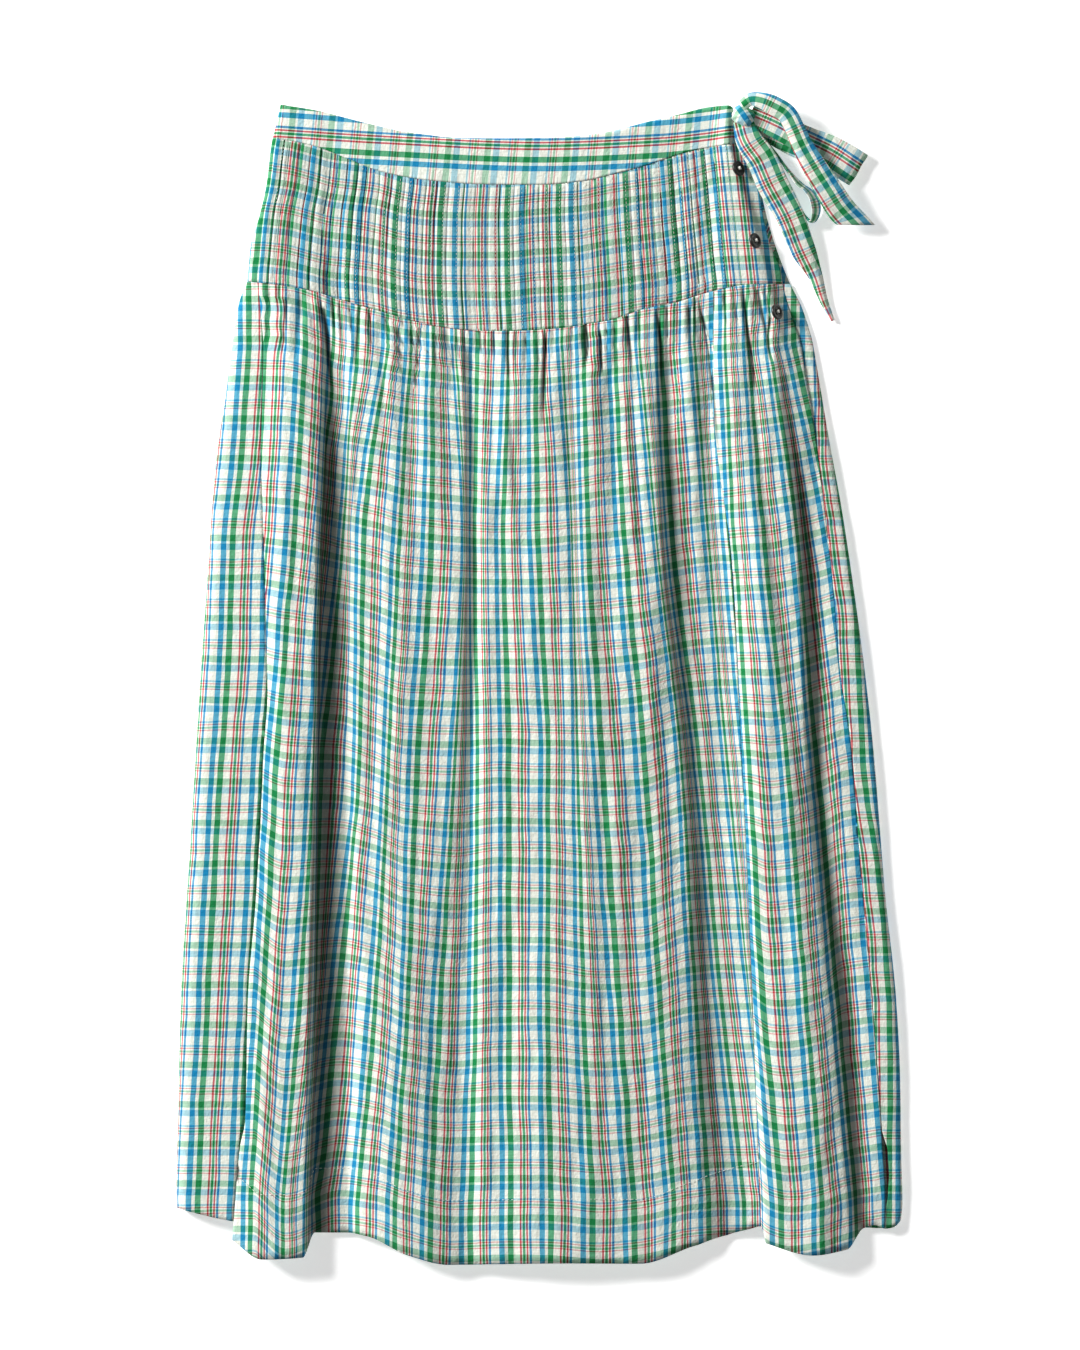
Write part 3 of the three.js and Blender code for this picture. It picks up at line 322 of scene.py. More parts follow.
FLAT_LOOP = [
    (160, 13, 2.6, 12, 57, 0, 0), (178, 21, 2.6, 20, 62, 0, 0), (197, 28.5, 2.8, 25, 63, 0, 0),
    (221, 37.5, 3.1, 26, 61, 0, 0), (237, 47.2, 3.3, 27, 59, 0, 0), (242.6, 50.7, 6, 27, 58, 0, 0),
    (237, 47.2, 8.7, 27, 59, 0, 0), (221, 37, 9, 25, 61, 0, 0), (198, 26, 9, 21, 63, 0, 0),
    (179, 16, 9.5, 20, 62, 0, 0), (160.4, 8, 9.6, 13, 57, 0, 0),
]
STANDING_LOOP = [
    (158, 13.5, 6.2, 3, 0, 90, 0), (164.5, 20, 6, 3, 0, 90, 0), (170.5, 27, 5, 5, 0, 90, 0),
    (180, 38.5, 4.6, 7, 0, 90, 0), (190, 52, 6, 10, 0, 105, 0), (198, 61.5, 7.2, 14, 0, 120, 0),
    (204.5, 66.5, 7.4, 15, 0, 122, 0), (209, 73, 7.4, 15, 0, 122, 0), (210.5, 82, 7, 14, 0, 120, 0),
    (207.5, 89.5, 6, 11, 0, 110, 0), (202.5, 85.5, 4, 7, 0, 90, 0), (196, 74, 3.6, 6, 0, 90, 0),
    (188, 61, 3.4, 5.5, 0, 90, 0), (178, 47, 3.4, 5.5, 0, 90, 0), (169, 35, 3.4, 5.5, 0, 90, 0),
]


def smooth(rows):
    """A smooth curve through rows of (place, value) that never swings past a row: cubic pieces whose
    slope at a row is the harmonic mean of the rises on its two sides, and level where they differ in
    sign."""
    place, value = np.array(rows, float).T
    rise = np.diff(value) / np.diff(place)
    slope = np.concatenate([rise[:1], mean_slope(rise[:-1], rise[1:]), rise[-1:]])

    def curve(at):
        at = np.clip(at, place[0], place[-1])
        i = np.clip(np.searchsorted(place, at, side="right") - 1, 0, len(place) - 2)
        width = place[i + 1] - place[i]
        t = (at - place[i]) / width
        start = (1 + 2 * t) * (1 - t) ** 2
        turn = width * t * (1 - t) * ((1 - t) * slope[i] - t * slope[i + 1])
        return start * value[i] + (1 - start) * value[i + 1] + turn

    return curve


def mean_slope(before, after):
    """The harmonic mean of two rises, and nothing where one is up and the other down."""
    both = before + after
    return np.where(before * after > 0, 2 * before * after / np.where(both == 0, 1, both), 0)


def smooth_across(places, values, at):
    """The same curve where every point has its own rows: places and values run along the first axis."""
    rise = np.diff(values, axis=0) / np.maximum(np.diff(places, axis=0), 1e-6)
    slope = np.concatenate([rise[:1], mean_slope(rise[:-1], rise[1:]), rise[-1:]])
    at = np.clip(at, places[0], places[-1])
    i = np.clip((places <= at).sum(0) - 1, 0, len(places) - 2)[None]
    take = lambda rows, row: np.take_along_axis(rows, row, 0)[0]
    width = np.maximum(take(places, i + 1) - take(places, i), 1e-6)
    t = (at - take(places, i)) / width
    start = (1 + 2 * t) * (1 - t) ** 2
    turn = width * t * (1 - t) * ((1 - t) * take(slope, i) - t * take(slope, i + 1))
    return start * take(values, i) + (1 - start) * take(values, i + 1) + turn


def lerp(first, last, share):
    return first + (last - first) * share


def fade(start, end, at):
    """From 0 at start to 1 at end, easing in and out."""
    t = np.clip((at - start) / (end - start), 0, 1)
    return t * t * (3 - 2 * t)


band_top_front, band_top_back = smooth(BAND_TOP_FRONT), smooth(BAND_TOP_BACK)
band_seam, yoke_seam, hem_behind = smooth(BAND_SEAM), smooth(YOKE_SEAM), smooth(HEM_BEHIND)
outline_left, outline_right = smooth(OUTLINE_LEFT), smooth(OUTLINE_RIGHT)
seam_left, seam_right, slit_at_hem = smooth(SEAM_LEFT), smooth(SEAM_RIGHT), smooth(SLIT_AT_HEM)
tuck_end = smooth(TUCK_END)
tuck_places = np.concatenate([[0], np.cumsum(TUCK_SEEN)]) / sum(TUCK_SEEN)
tuck_cloth = TUCK_CLOTH_START + np.concatenate([[0], np.cumsum(TUCK_TAKES)])
line_x = [seam_left] + [smooth(list(zip(STATIONS, x))) for _, x, _ in FOLD_LINES[1:-1]] + [seam_right]
line_height = [smooth(list(zip(STATIONS, height))) for _, _, height in FOLD_LINES]
hem_at = smooth([(i, hem) for i, (hem, _, _) in enumerate(FOLD_LINES)])


def front_height(x, drop):
    """The front's outer height, from the fold lines that pass on either side of a place."""
    x, drop = np.broadcast_arrays(np.asarray(x, float), np.asarray(drop, float))
    places = np.stack([at(drop) for at in line_x])
    heights = np.stack([at(drop) for at in line_height])
    return smooth_across(places, heights, x)


def uneven(x, drop, across, along, seed):
    """Smooth unevenness of about one either way: seeded random values at the corners of cells of the
    given size, blended inside each cell."""
    lattice = np.random.default_rng(seed).uniform(-1, 1, (257, 257))
    i, j = (x + 700) / across, (drop + 700) / along
    i0, j0 = np.floor(i).astype(int), np.floor(j).astype(int)
    a, b = fade(0, 1, i - i0), fade(0, 1, j - j0)
    corner = lambda p, q: lattice[(i0 + p) % 257, (j0 + q) % 257]
    return lerp(lerp(corner(0, 0), corner(1, 0), a), lerp(corner(0, 1), corner(1, 1), a), b)


def crinkle(x, drop, size=1.0):
    """Crinkled cotton's relief: long soft waves down the warp and short puckers over them."""
    waves = 0.65 * uneven(x, drop, 11, 46, 3) + 0.42 * uneven(x, drop, 5.2, 19, 4)
    puckers = 0.2 * uneven(x, drop, 3.1, 5.5, 5) + 0.17 * uneven(x, drop, 7, 3.4, 6)
    return size * (waves + puckers)


def creases(x, drop):
    """Height and crease shade of the listed creases: each is a bell-shaped trough across its
    path, which deepens from one end and shallows to the other."""
    height, shade = np.zeros(x.shape), np.zeros(x.shape)
    for path, half_width, depth in CREASES:
        start, end = path[0][0], path[-1][0]
        run = end - start
        near = (drop > start - 1) & (drop < end) & (np.abs(x - path[0][1]) < 60)
        if not near.any():
            continue
        d = drop[near]
        way = (x[near] - smooth(path)(d)) / half_width
        along = fade(start - 0.3 * min(run, 40), start + 0.15 * run, d) * (1 - fade(end - 0.45 * run, end, d))
        bell = np.exp(-(way**2)) * along
        height[near] -= depth * bell
        # Deep creases also get a line of painted shade, which darkens the cloth's colour
        if depth > CREASE_SHADE_FROM:
            painted_shade = 0.75 * np.exp(-((1.7 * way) ** 2)) * along
            shade[near] = np.maximum(shade[near], painted_shade)
    # Painted shadow: the cloth right of the deepest folds is darkened where those folds would cast their shadow
    for path, reach, strongest_painted_shadow in PAINTED_TROUGH_SHADOWS:
        past = x - smooth(path)(drop)
        along = fade(path[0][0] - 10, path[0][0] + 110, drop)
        painted_shade = strongest_painted_shadow * along * fade(-1.5, 1.5, past) * (1 - fade(0.25 * reach, 1.35 * reach, past))
        shade = np.maximum(shade, painted_shade)
    return height, shade


def gathers(share, below, count, seed):
    """Gathers along the yoke seam: rounded puffs between narrow creases, each of its own size and
    length. Returns their height, the painted shade of their creases and how much cloth the creases hide."""
    rng = np.random.default_rng(seed)
    high, run = rng.uniform(0.55, 1.2, count + 2), rng.uniform(20, 62, count + 2)
    lean = 0.12 * uneven(share * 400, below * 0, 37, 50, seed + 1) * below / 60
    s = count * (share + 0.010 * np.sin(41 * share) + 0.006 * np.sin(97 * share + 2)) + lean
    s = np.clip(s, 0, count - 0.001)
    which = np.floor(s).astype(int)
    wave = np.abs(np.sin(np.pi * s)) ** 0.62
    size = high[which] * lerp(0.5, 1, fade(0, 7, below)) * (1 - fade(0.25 * run[which], run[which], below))
    narrow = np.clip(1 - wave / 0.5, 0, 1)
    shade = 0.9 * size * narrow * (1 - fade(8, 45, below))
    pucker = RUFFLE * np.abs(np.sin(2.5 * np.pi * s)) * np.exp(-below / 1.8)
    return GATHER_HEIGHT * size * (wave - 0.35) + pucker, shade, narrow * (1 - fade(15, 110, below))


def place(x, drop, z):
    """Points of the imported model's frame in metres, from x, drop and height."""
    return np.stack([x + SHIFT_X, MIDDLE_DROP - drop + SHIFT_Y, z], -1) * MM


def grid_normals(points):
    """Unit normals of a grid of points, from the differences to its neighbours. They point up where
    rows run down the skirt and columns run to the right."""
    down, right = np.gradient(points, axis=0), np.gradient(points, axis=1)
    normal = np.cross(down, right)
    return normal / np.maximum(np.linalg.norm(normal, axis=-1, keepdims=True), 1e-12)


def new_piece(name, points, faces, material, uv=None, shade=None):
    """A mesh object at the origin from points in metres and arrays of faces. uv and shade have a value
    for each point; shade is painted shade, kept as an attribute that darkens the cloth's colour."""
    mesh = bpy.data.meshes.new(name)
    corners = np.concatenate([f.ravel() for f in faces]).astype(np.int32)
    sizes = np.concatenate([np.full(len(f), f.shape[1]) for f in faces])
    mesh.vertices.add(len(points))
    mesh.vertices.foreach_set("co", np.ascontiguousarray(points, np.float32).ravel())
    mesh.loops.add(len(corners))
    mesh.loops.foreach_set("vertex_index", corners)
    mesh.polygons.add(len(sizes))
    mesh.polygons.foreach_set("loop_start", np.concatenate([[0], np.cumsum(sizes)[:-1]]).astype(np.int32))
    mesh.update(calc_edges=True)
    mesh.validate()
    mesh.shade_smooth()
    if uv is not None:
        layer = mesh.uv_layers.new(name="cloth")
        layer.uv.foreach_set("vector", np.ascontiguousarray(uv[corners], np.float32).ravel())
    if shade is not None:
        layer = mesh.attributes.new("crease_shading", "FLOAT", "POINT")
        layer.data.foreach_set("value", np.ascontiguousarray(shade, np.float32))
    mesh.materials.append(material)
    piece = bpy.data.objects.new(name, mesh)
    bpy.context.scene.collection.objects.link(piece)
    return piece


def shell(name, outer, uv, material, thickness=WALL, skip=(4, 2), shade=None, inner_from=None):
    """A closed thin wall. outer is a grid of points in mm (rows, columns, 3) and uv its cloth. The
    inner sheet has every few rows and columns of inner_from, or of outer, moved in by the thickness
    along the normals, and a rim of triangles joins the two sheets' edges."""
    rows, columns = outer.shape[:2]
    base = outer if inner_from is None else inner_from
    moved = base - grid_normals(base) * thickness * MM
    pick_rows = np.unique(np.linspace(0, rows - 1, (rows - 1) // skip[0] + 1).round().astype(int))
    pick_columns = np.unique(np.linspace(0, columns - 1, (columns - 1) // skip[1] + 1).round().astype(int))
    inner = moved[np.ix_(pick_rows, pick_columns)]
    number = np.arange(rows * columns).reshape(rows, columns)
    inner_number = rows * columns + np.arange(inner.shape[0] * inner.shape[1]).reshape(inner.shape[:2])

    def quads(grid, flip):
        a, b, c, d = grid[:-1, :-1], grid[1:, :-1], grid[1:, 1:], grid[:-1, 1:]
        order = (a, d, c, b) if flip else (a, b, c, d)
        return np.stack(order, -1).reshape(-1, 4)

    def ring(grid):
        return np.concatenate([grid[0, :-1], grid[:-1, -1], grid[-1, :0:-1], grid[:0:-1, 0]])

    around, within = ring(number), ring(inner_number)
    at = np.concatenate([
        pick_columns[:-1], columns - 1 + pick_rows[:-1],
        columns + rows - 2 + (columns - 1 - pick_columns[:0:-1]),
        2 * columns + rows - 3 + (rows - 1 - pick_rows[:0:-1]),
    ])
    step = np.arange(len(around))
    fan = np.stack([around, np.roll(around, -1), within[np.searchsorted(at, step, side="right") - 1]], -1)
    close = np.stack([around[np.roll(at, -1)], np.roll(within, -1), within], -1)
    faces = [quads(number, False), quads(inner_number, True), fan, close]
    points = np.concatenate([outer.reshape(-1, 3), inner.reshape(-1, 3)])
    all_uv = np.concatenate([uv.reshape(-1, 2), uv[np.ix_(pick_rows, pick_columns)].reshape(-1, 2)])
    if shade is None:
        shade = np.zeros((rows, columns))
    all_shade = np.concatenate([shade.ravel(), np.zeros(inner.shape[0] * inner.shape[1])])
    return new_piece(name, points, faces, material, all_uv, all_shade)


def cloth_across(x, drop, z, crease_shading, grain):
    """Millimetres of cloth across, for a grid. Where a blue stripe of the grain crosses a row, the
    cloth is at that stripe's own place. Between two stripes it goes by the distance over the folds,
    and cloth that this leaves over is hidden in the creases and on the steep sides there."""
    along = distance_along(x, z)
    steep = np.abs(np.gradient(z, axis=1)) / np.maximum(np.gradient(x, axis=1), 0.05)
    hiding = 0.14 + 0.7 * crease_shading + 0.5 * np.clip(steep - 0.9, 0, 3)
    widths = np.diff(x, axis=1)
    hidden = np.concatenate([np.zeros((len(x), 1)), np.cumsum(hiding[:, 1:] * widths, axis=1)], axis=1)
    stripes = [smooth(list(zip(GRAIN_DROPS, row))) for row in grain]
    short = np.stack([x - stripe(drop) for stripe in stripes])
    cloth = WARP_REPEAT * np.arange(len(grain)) + BLUE_CENTRE
    across = np.empty(x.shape)
    for r in range(len(x)):
        at = [np.interp(0, f, along[r]) - max(f[0], 0) - min(f[-1], 0) for f in short[:, r]]
        at = np.maximum.accumulate(np.array(at) + 1e-3 * np.arange(len(at)))
        hidden_at = np.interp(at, along[r], hidden[r])
        length, room = np.diff(at), np.maximum(np.diff(hidden_at), 1e-3)
        over = np.maximum(WARP_REPEAT - length, 0)
        stretch = np.where(over > 0, 1, WARP_REPEAT / length)
        k = np.clip(np.searchsorted(at, along[r], side="right") - 1, 0, len(at) - 2)
        inside = (along[r] > at[0]) & (along[r] < at[-1])
        within = (along[r] - at[k]) * stretch[k] + (hidden[r] - hidden_at[k]) * over[k] / room[k]
        beyond = np.where(along[r] < at[0], along[r] - at[0], WARP_REPEAT + along[r] - at[-1])
        across[r] = cloth[k] + np.where(inside, within, beyond)
    return across


def cloth_down(x, drop, sag, start, sag_drops=SAG_DROPS):
    """Millimetres of cloth down, from how far the weft's rows sag at a place."""
    levels = np.array([smooth([(row[0], row[i + 1]) for row in sag])(x) for i in range(len(sag_drops))])
    share = np.interp(drop, sag_drops, np.arange(len(sag_drops)))
    first = np.clip(np.floor(share).astype(int), 0, max(len(sag_drops) - 2, 0))[None]
    low = np.take_along_axis(levels, first, 0)[0]
    high = np.take_along_axis(levels, np.minimum(first + 1, len(sag_drops) - 1), 0)[0]
    sagging = lerp(low, high, share - first[0])
    return drop - start - sagging + WEFT_DARKEST * WEFT_REPEAT


def distance_along(x, z):
    """Distance along each row of a grid over its folds."""
    steps = np.hypot(np.diff(x, axis=1), np.diff(z, axis=1))
    return np.concatenate([np.zeros((len(x), 1)), np.cumsum(steps, axis=1)], axis=1)


def wander(x, drop, uv, size=0.55):
    """The grain of soft cloth wanders a little from straight."""
    uv[..., 0] += size * uneven(x, drop, 17, 31, 11) + 0.4 * size * uneven(x, drop, 6, 9, 12)
    uv[..., 1] += size * uneven(x, drop, 29, 17, 13) + 0.4 * size * uneven(x, drop, 9, 6, 14)
    return uv


def hex_to_linear(code):
    """A hex colour's linear values, with full opacity."""
    channels = np.array([int(code[i:i + 2], 16) / 255 for i in (1, 3, 5)])
    linear = np.where(channels <= 0.04045, channels / 12.92, ((channels + 0.055) / 1.055) ** 2.4)
    return (*linear, 1.0)


def node(tree, kind, links=None, **settings):
    """Adds a node. A setting whose name is an input's is put there, others are set on the node, and
    links gives the socket that feeds each named or numbered input."""
    made = tree.nodes.new("ShaderNode" + kind)
    for key, value in settings.items():
        label = key.replace("_", " ").title()
        if hasattr(made, key):
            setattr(made, key, value)
        else:
            made.inputs[label].default_value = value
    for key, socket in (links or {}).items():
        tree.links.new(socket, made.inputs[key])
    return made


def new_material(name):
    material = bpy.data.materials.new(name)
    material.use_nodes = True
    material.node_tree.nodes.clear()
    return material, material.node_tree


def stripe_ramp(tree, share, stripes):
    """The colour of a repeat of stripes at a share of it."""
    ramp = node(tree, "ValToRGB", {0: share})
    band = ramp.color_ramp
    band.interpolation = "CONSTANT"
    starts = [0] + [end for end, _ in stripes[:-1]]
    while len(band.elements) < len(stripes):
        band.elements.new(0.5)
    for element, start, (_, colour) in zip(band.elements, starts, stripes):
        element.position = start
    for element, (_, colour) in zip(band.elements, stripes):
        element.color = hex_to_linear(colour)
    return ramp.outputs["Color"]


def crinkled_madras_cotton():
    """Madras cotton, yarn-dyed and plain woven, washed so that it crinkles. Strong warp stripes and
    pale weft ones mix thread by thread, so the colours are mixed as the eye sees them, not as light.
    The yarns are 0.25 mm, too fine to show, so the weave is drawn 0.9 mm wide."""
    material, tree = new_material("crinkled_madras_cotton_plain_weave")
    maths = lambda operation, first, second: node(
        tree, "Math", {0: first} if not isinstance(second, bpy.types.NodeSocket) else {0: first, 1: second},
        operation=operation)
    uv = node(tree, "UVMap", uv_map="cloth").outputs["UV"]
    split = node(tree, "SeparateXYZ", {0: uv})

    def share_of(socket, repeat):
        scaled = maths("DIVIDE", socket, None)
        scaled.inputs[1].default_value = repeat
        return maths("FRACT", scaled.outputs[0], None).outputs[0]

    warp = stripe_ramp(tree, share_of(split.outputs["X"], WARP_REPEAT), WARP_STRIPES)
    weft = stripe_ramp(tree, share_of(split.outputs["Y"], WEFT_REPEAT), WEFT_STRIPES)
    seen_warp = node(tree, "Gamma", {"Color": warp}, gamma=1 / 2.2)
    seen_weft = node(tree, "Gamma", {"Color": weft}, gamma=1 / 2.2)
    mixed = node(tree, "MixRGB", {1: seen_warp.outputs[0], 2: seen_weft.outputs[0]}, fac=WEFT_SHARE)
    # Slubs: uneven yarn makes short streaks down and across, a few per cent lighter or darker
    down = node(tree, "Mapping", {"Vector": uv}, scale=(1.1, 0.12, 1))
    across = node(tree, "Mapping", {"Vector": uv}, scale=(0.12, 1.1, 1))
    streaks = [node(tree, "TexNoise", {"Vector": m.outputs[0]}, scale=1, detail=2) for m in (down, across)]
    slub = maths("ADD", streaks[0].outputs[0], streaks[1].outputs[0])
    slub_range = node(tree, "MapRange", {"Value": slub.outputs[0]})
    for label, value in (("From Min", 0.7), ("From Max", 1.3), ("To Min", 0.93), ("To Max", 1.05)):
        slub_range.inputs[label].default_value = value
    slubbed = node(tree, "MixRGB", {1: mixed.outputs[0], 2: slub_range.outputs[0]}, blend_type="MULTIPLY", fac=1.0)
    # Painted shade: a per-point attribute darkens the colour towards dark grey in creases, at tuck edges and beside
    # deep folds
    crease_shading = node(tree, "Attribute", attribute_name="crease_shading").outputs["Fac"]
    colour_with_painted_shade = node(tree, "MixRGB", {0: crease_shading, 1: slubbed.outputs[0]}, blend_type="MULTIPLY")
    colour_with_painted_shade.inputs[2].default_value = (0.2, 0.2, 0.19, 1)
    colour = node(tree, "Gamma", {"Color": colour_with_painted_shade.outputs[0]}, gamma=2.2)
    # Relief: fine puckers of 2 to 4 mm and the weave
    puckers = node(tree, "TexNoise", {"Vector": uv}, scale=0.42, detail=3, roughness=0.55)
    fine = node(tree, "TexNoise", {"Vector": uv}, scale=1.1, detail=2)
    relief = maths("MULTIPLY_ADD", fine.outputs[0], None)
    relief.inputs[1].default_value = 0.3
    tree.links.new(puckers.outputs[0], relief.inputs[2])
    bump = node(tree, "Bump", {"Height": relief.outputs[0]}, strength=0.55, distance=0.0011)
    shader = node(tree, "BsdfPrincipled", {"Base Color": colour.outputs[0], "Normal": bump.outputs[0]})
    for label, value in (("Roughness", 0.86), ("Specular IOR Level", 0.22), ("Sheen Weight", 0.12),
                         ("Sheen Roughness", 0.5)):
        shader.inputs[label].default_value = value
    node(tree, "OutputMaterial", {"Surface": shader.outputs[0]})
    return material


def polished_horn():
    """Buffalo horn, turned and polished: near black with brown streaks, and a soft gloss."""
    material, tree = new_material("polished_dark_horn")
    where = node(tree, "TexCoord").outputs["Object"]
    streaks = node(tree, "Mapping", {"Vector": where}, scale=(260, 900, 260), rotation=(0.3, 0.2, 0.7))
    noise = node(tree, "TexNoise", {"Vector": streaks.outputs[0]}, scale=1, detail=4, distortion=0.6)
    ramp = node(tree, "ValToRGB", {0: noise.outputs[0]})
    for element, (position, colour) in zip(ramp.color_ramp.elements, ((0.45, "#0E0B0A"), (0.8, "#3A2C20"))):
        element.position = position
        element.color = hex_to_linear(colour)
    bump = node(tree, "Bump", {"Height": noise.outputs[0]}, strength=0.15, distance=0.0002)
    shader = node(tree, "BsdfPrincipled", {"Base Color": ramp.outputs[0], "Normal": bump.outputs[0]})
    for label, value in (("Roughness", 0.38), ("IOR", 1.5), ("Coat Weight", 0.08), ("Coat Roughness", 0.2)):
        shader.inputs[label].default_value = value
    node(tree, "OutputMaterial", {"Surface": shader.outputs[0]})
    return material


def cotton_thread():
    """Mercerised cotton thread, twisted: off-white, with a faint sheen and twist marks."""
    material, tree = new_material("twisted_cotton_thread")
    where = node(tree, "TexCoord").outputs["Object"]
    twist = node(tree, "TexWave", {"Vector": where}, scale=900, distortion=2)
    ramp = node(tree, "ValToRGB", {0: twist.outputs[1]})
    for element, colour in zip(ramp.color_ramp.elements, ("#D9D6CB", "#F6F4EC")):
        element.color = hex_to_linear(colour)
    bump = node(tree, "Bump", {"Height": twist.outputs[1]}, strength=0.3, distance=0.0001)
    shader = node(tree, "BsdfPrincipled", {"Base Color": ramp.outputs[0], "Normal": bump.outputs[0]})
    for label, value in (("Roughness", 0.7), ("Sheen Weight", 0.2)):
        shader.inputs[label].default_value = value
    node(tree, "OutputMaterial", {"Surface": shader.outputs[0]})
    return material


cotton, horn, thread = crinkled_madras_cotton(), polished_horn(), cotton_thread()


def finish_cloth(piece, replaced):
    """Hides the imported part that a piece of cloth stands for, and attaches the piece to the root."""
    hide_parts(replaced)
    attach(piece, "root")
    return piece


def panel_columns(first, last, spacing):
    """Columns between two fold lines, as line numbers with a share, about spacing apart over the
    folds half way down."""
    middle = np.array(450.0)
    columns = []
    for i in range(first, last):
        wide = float(line_x[i + 1](middle) - line_x[i](middle))
        tall = float(line_height[i + 1](middle) - line_height[i](middle))
        count = max(4, round(math.hypot(wide, tall) / spacing))
        columns.append(i + np.arange(count) / count)
    return np.concatenate([*columns, [last]])


def settle(x_at, drop_at, shape):
    """x and drop of a grid where each depends on the other, worked out in turn."""
    x = np.zeros(shape)
    drop = drop_at(x)
    for _ in range(5):
        x = x_at(drop)
        drop = drop_at(x)
    return x, drop


HEM_TURNING = 49  # from the hem up to its stitching


def skirt_panel(name, first, last, count, grain, sag, rows, spacing):
    """A gathered panel between two fold lines. Rows run from the yoke seam to the hem, closer at the
    gathers. Returns the panel's closed shell."""
    columns = panel_columns(first, last, spacing)
    line = np.minimum(columns.astype(int), last - 1)
    part = columns - line
    share = np.linspace(0, 1, rows)[:, None]
    down = 0.42 * share + 0.58 * share**2.2
    hem = hem_at(columns)[None]

    def x_at(drop):
        x = np.empty(drop.shape)
        for i in range(first, last):
            these = line == i
            x[:, these] = lerp(line_x[i](drop[:, these]), line_x[i + 1](drop[:, these]), part[None, these])
        return x

    top = lambda x: yoke_seam(x) + SEAM_GAP
    x, drop = settle(x_at, lambda x: lerp(top(x), hem, down), (rows, len(columns)))
    left, right = line_x[first](drop), line_x[last](drop)
    across = (x - left) / (right - left)
    base = front_height(x, drop)
    below = drop - top(x)
    crease_height, crease_shade = creases(x, drop)
    gather_height, gather_shade, gather_hides = gathers(across, below, count, 21 + first)
    clear = np.clip((seam_right(drop) - 8 - x) / 14, 0.15, 1)
    # Soft folds about 20 mm apart that fan out from the gathers and fade towards the hem
    soft_folds = uneven(across * np.median(right - left), below * 0.35, 16, 60, 33 + first) * fade(4, 40, below)
    soft_folds = 1.7 * soft_folds * (1 - 0.55 * fade(250, 650, below))
    folded = base + crease_height + gather_height * clear + soft_folds
    loose =fade(0, 30, below) * (0.75 + 0.25 * uneven(x, drop, 60, 90, 9))
    z = folded + crinkle(x, drop) * lerp(0.45, 1, loose)
    # The turned hem is double and a little proud, with a soft channel at its stitching
    above_hem = hem - drop
    z += 0.35 * (1 - fade(HEM_TURNING - 2, HEM_TURNING, above_hem))
    z -= 0.5 * np.exp(-(((above_hem - HEM_TURNING) / 1.4) ** 2))
    z = np.maximum(z, 3.2)
    inset = SEAM_GAP / 2 * (1 - 2 * across)
    # Painted shade in the creases and between the gathers, which darkens the cloth's colour
    shade = np.clip(crease_shade + gather_shade * clear, 0, 1)
    across_cloth = cloth_across(x, drop, base + crease_height, crease_shade + 0.5 * gather_hides, grain)
    uv = np.stack([across_cloth, cloth_down(x, drop, sag, FRONT_ROW_DROP)], -1)
    outer = place(x + inset, drop, z)
    inner = place(x + inset, drop, base + np.minimum(crease_height, 0) - 0.5)
    return shell(name, outer, wander(x, drop, uv), cotton, skip=(5, 2), shade=shade, inner_from=inner)


front = skirt_panel("skirt_front_cloth", 0, PANEL_SEAM, GATHERS_IN_FRONT, FRONT_GRAIN, FRONT_SAG, 200, 1.3)
finish_cloth(front, "skirt_front")
side = skirt_panel("skirt_side_placket_cloth", PANEL_SEAM, PLACKET_EDGE, GATHERS_IN_SIDE, SIDE_GRAIN,
                   SIDE_SAG, 200, 1.2)
finish_cloth(side, "skirt_side_placket")


def yoke_drop(x, share):
    return lerp(band_seam(x) + SEAM_GAP / 2, yoke_seam(x) - SEAM_GAP, share)


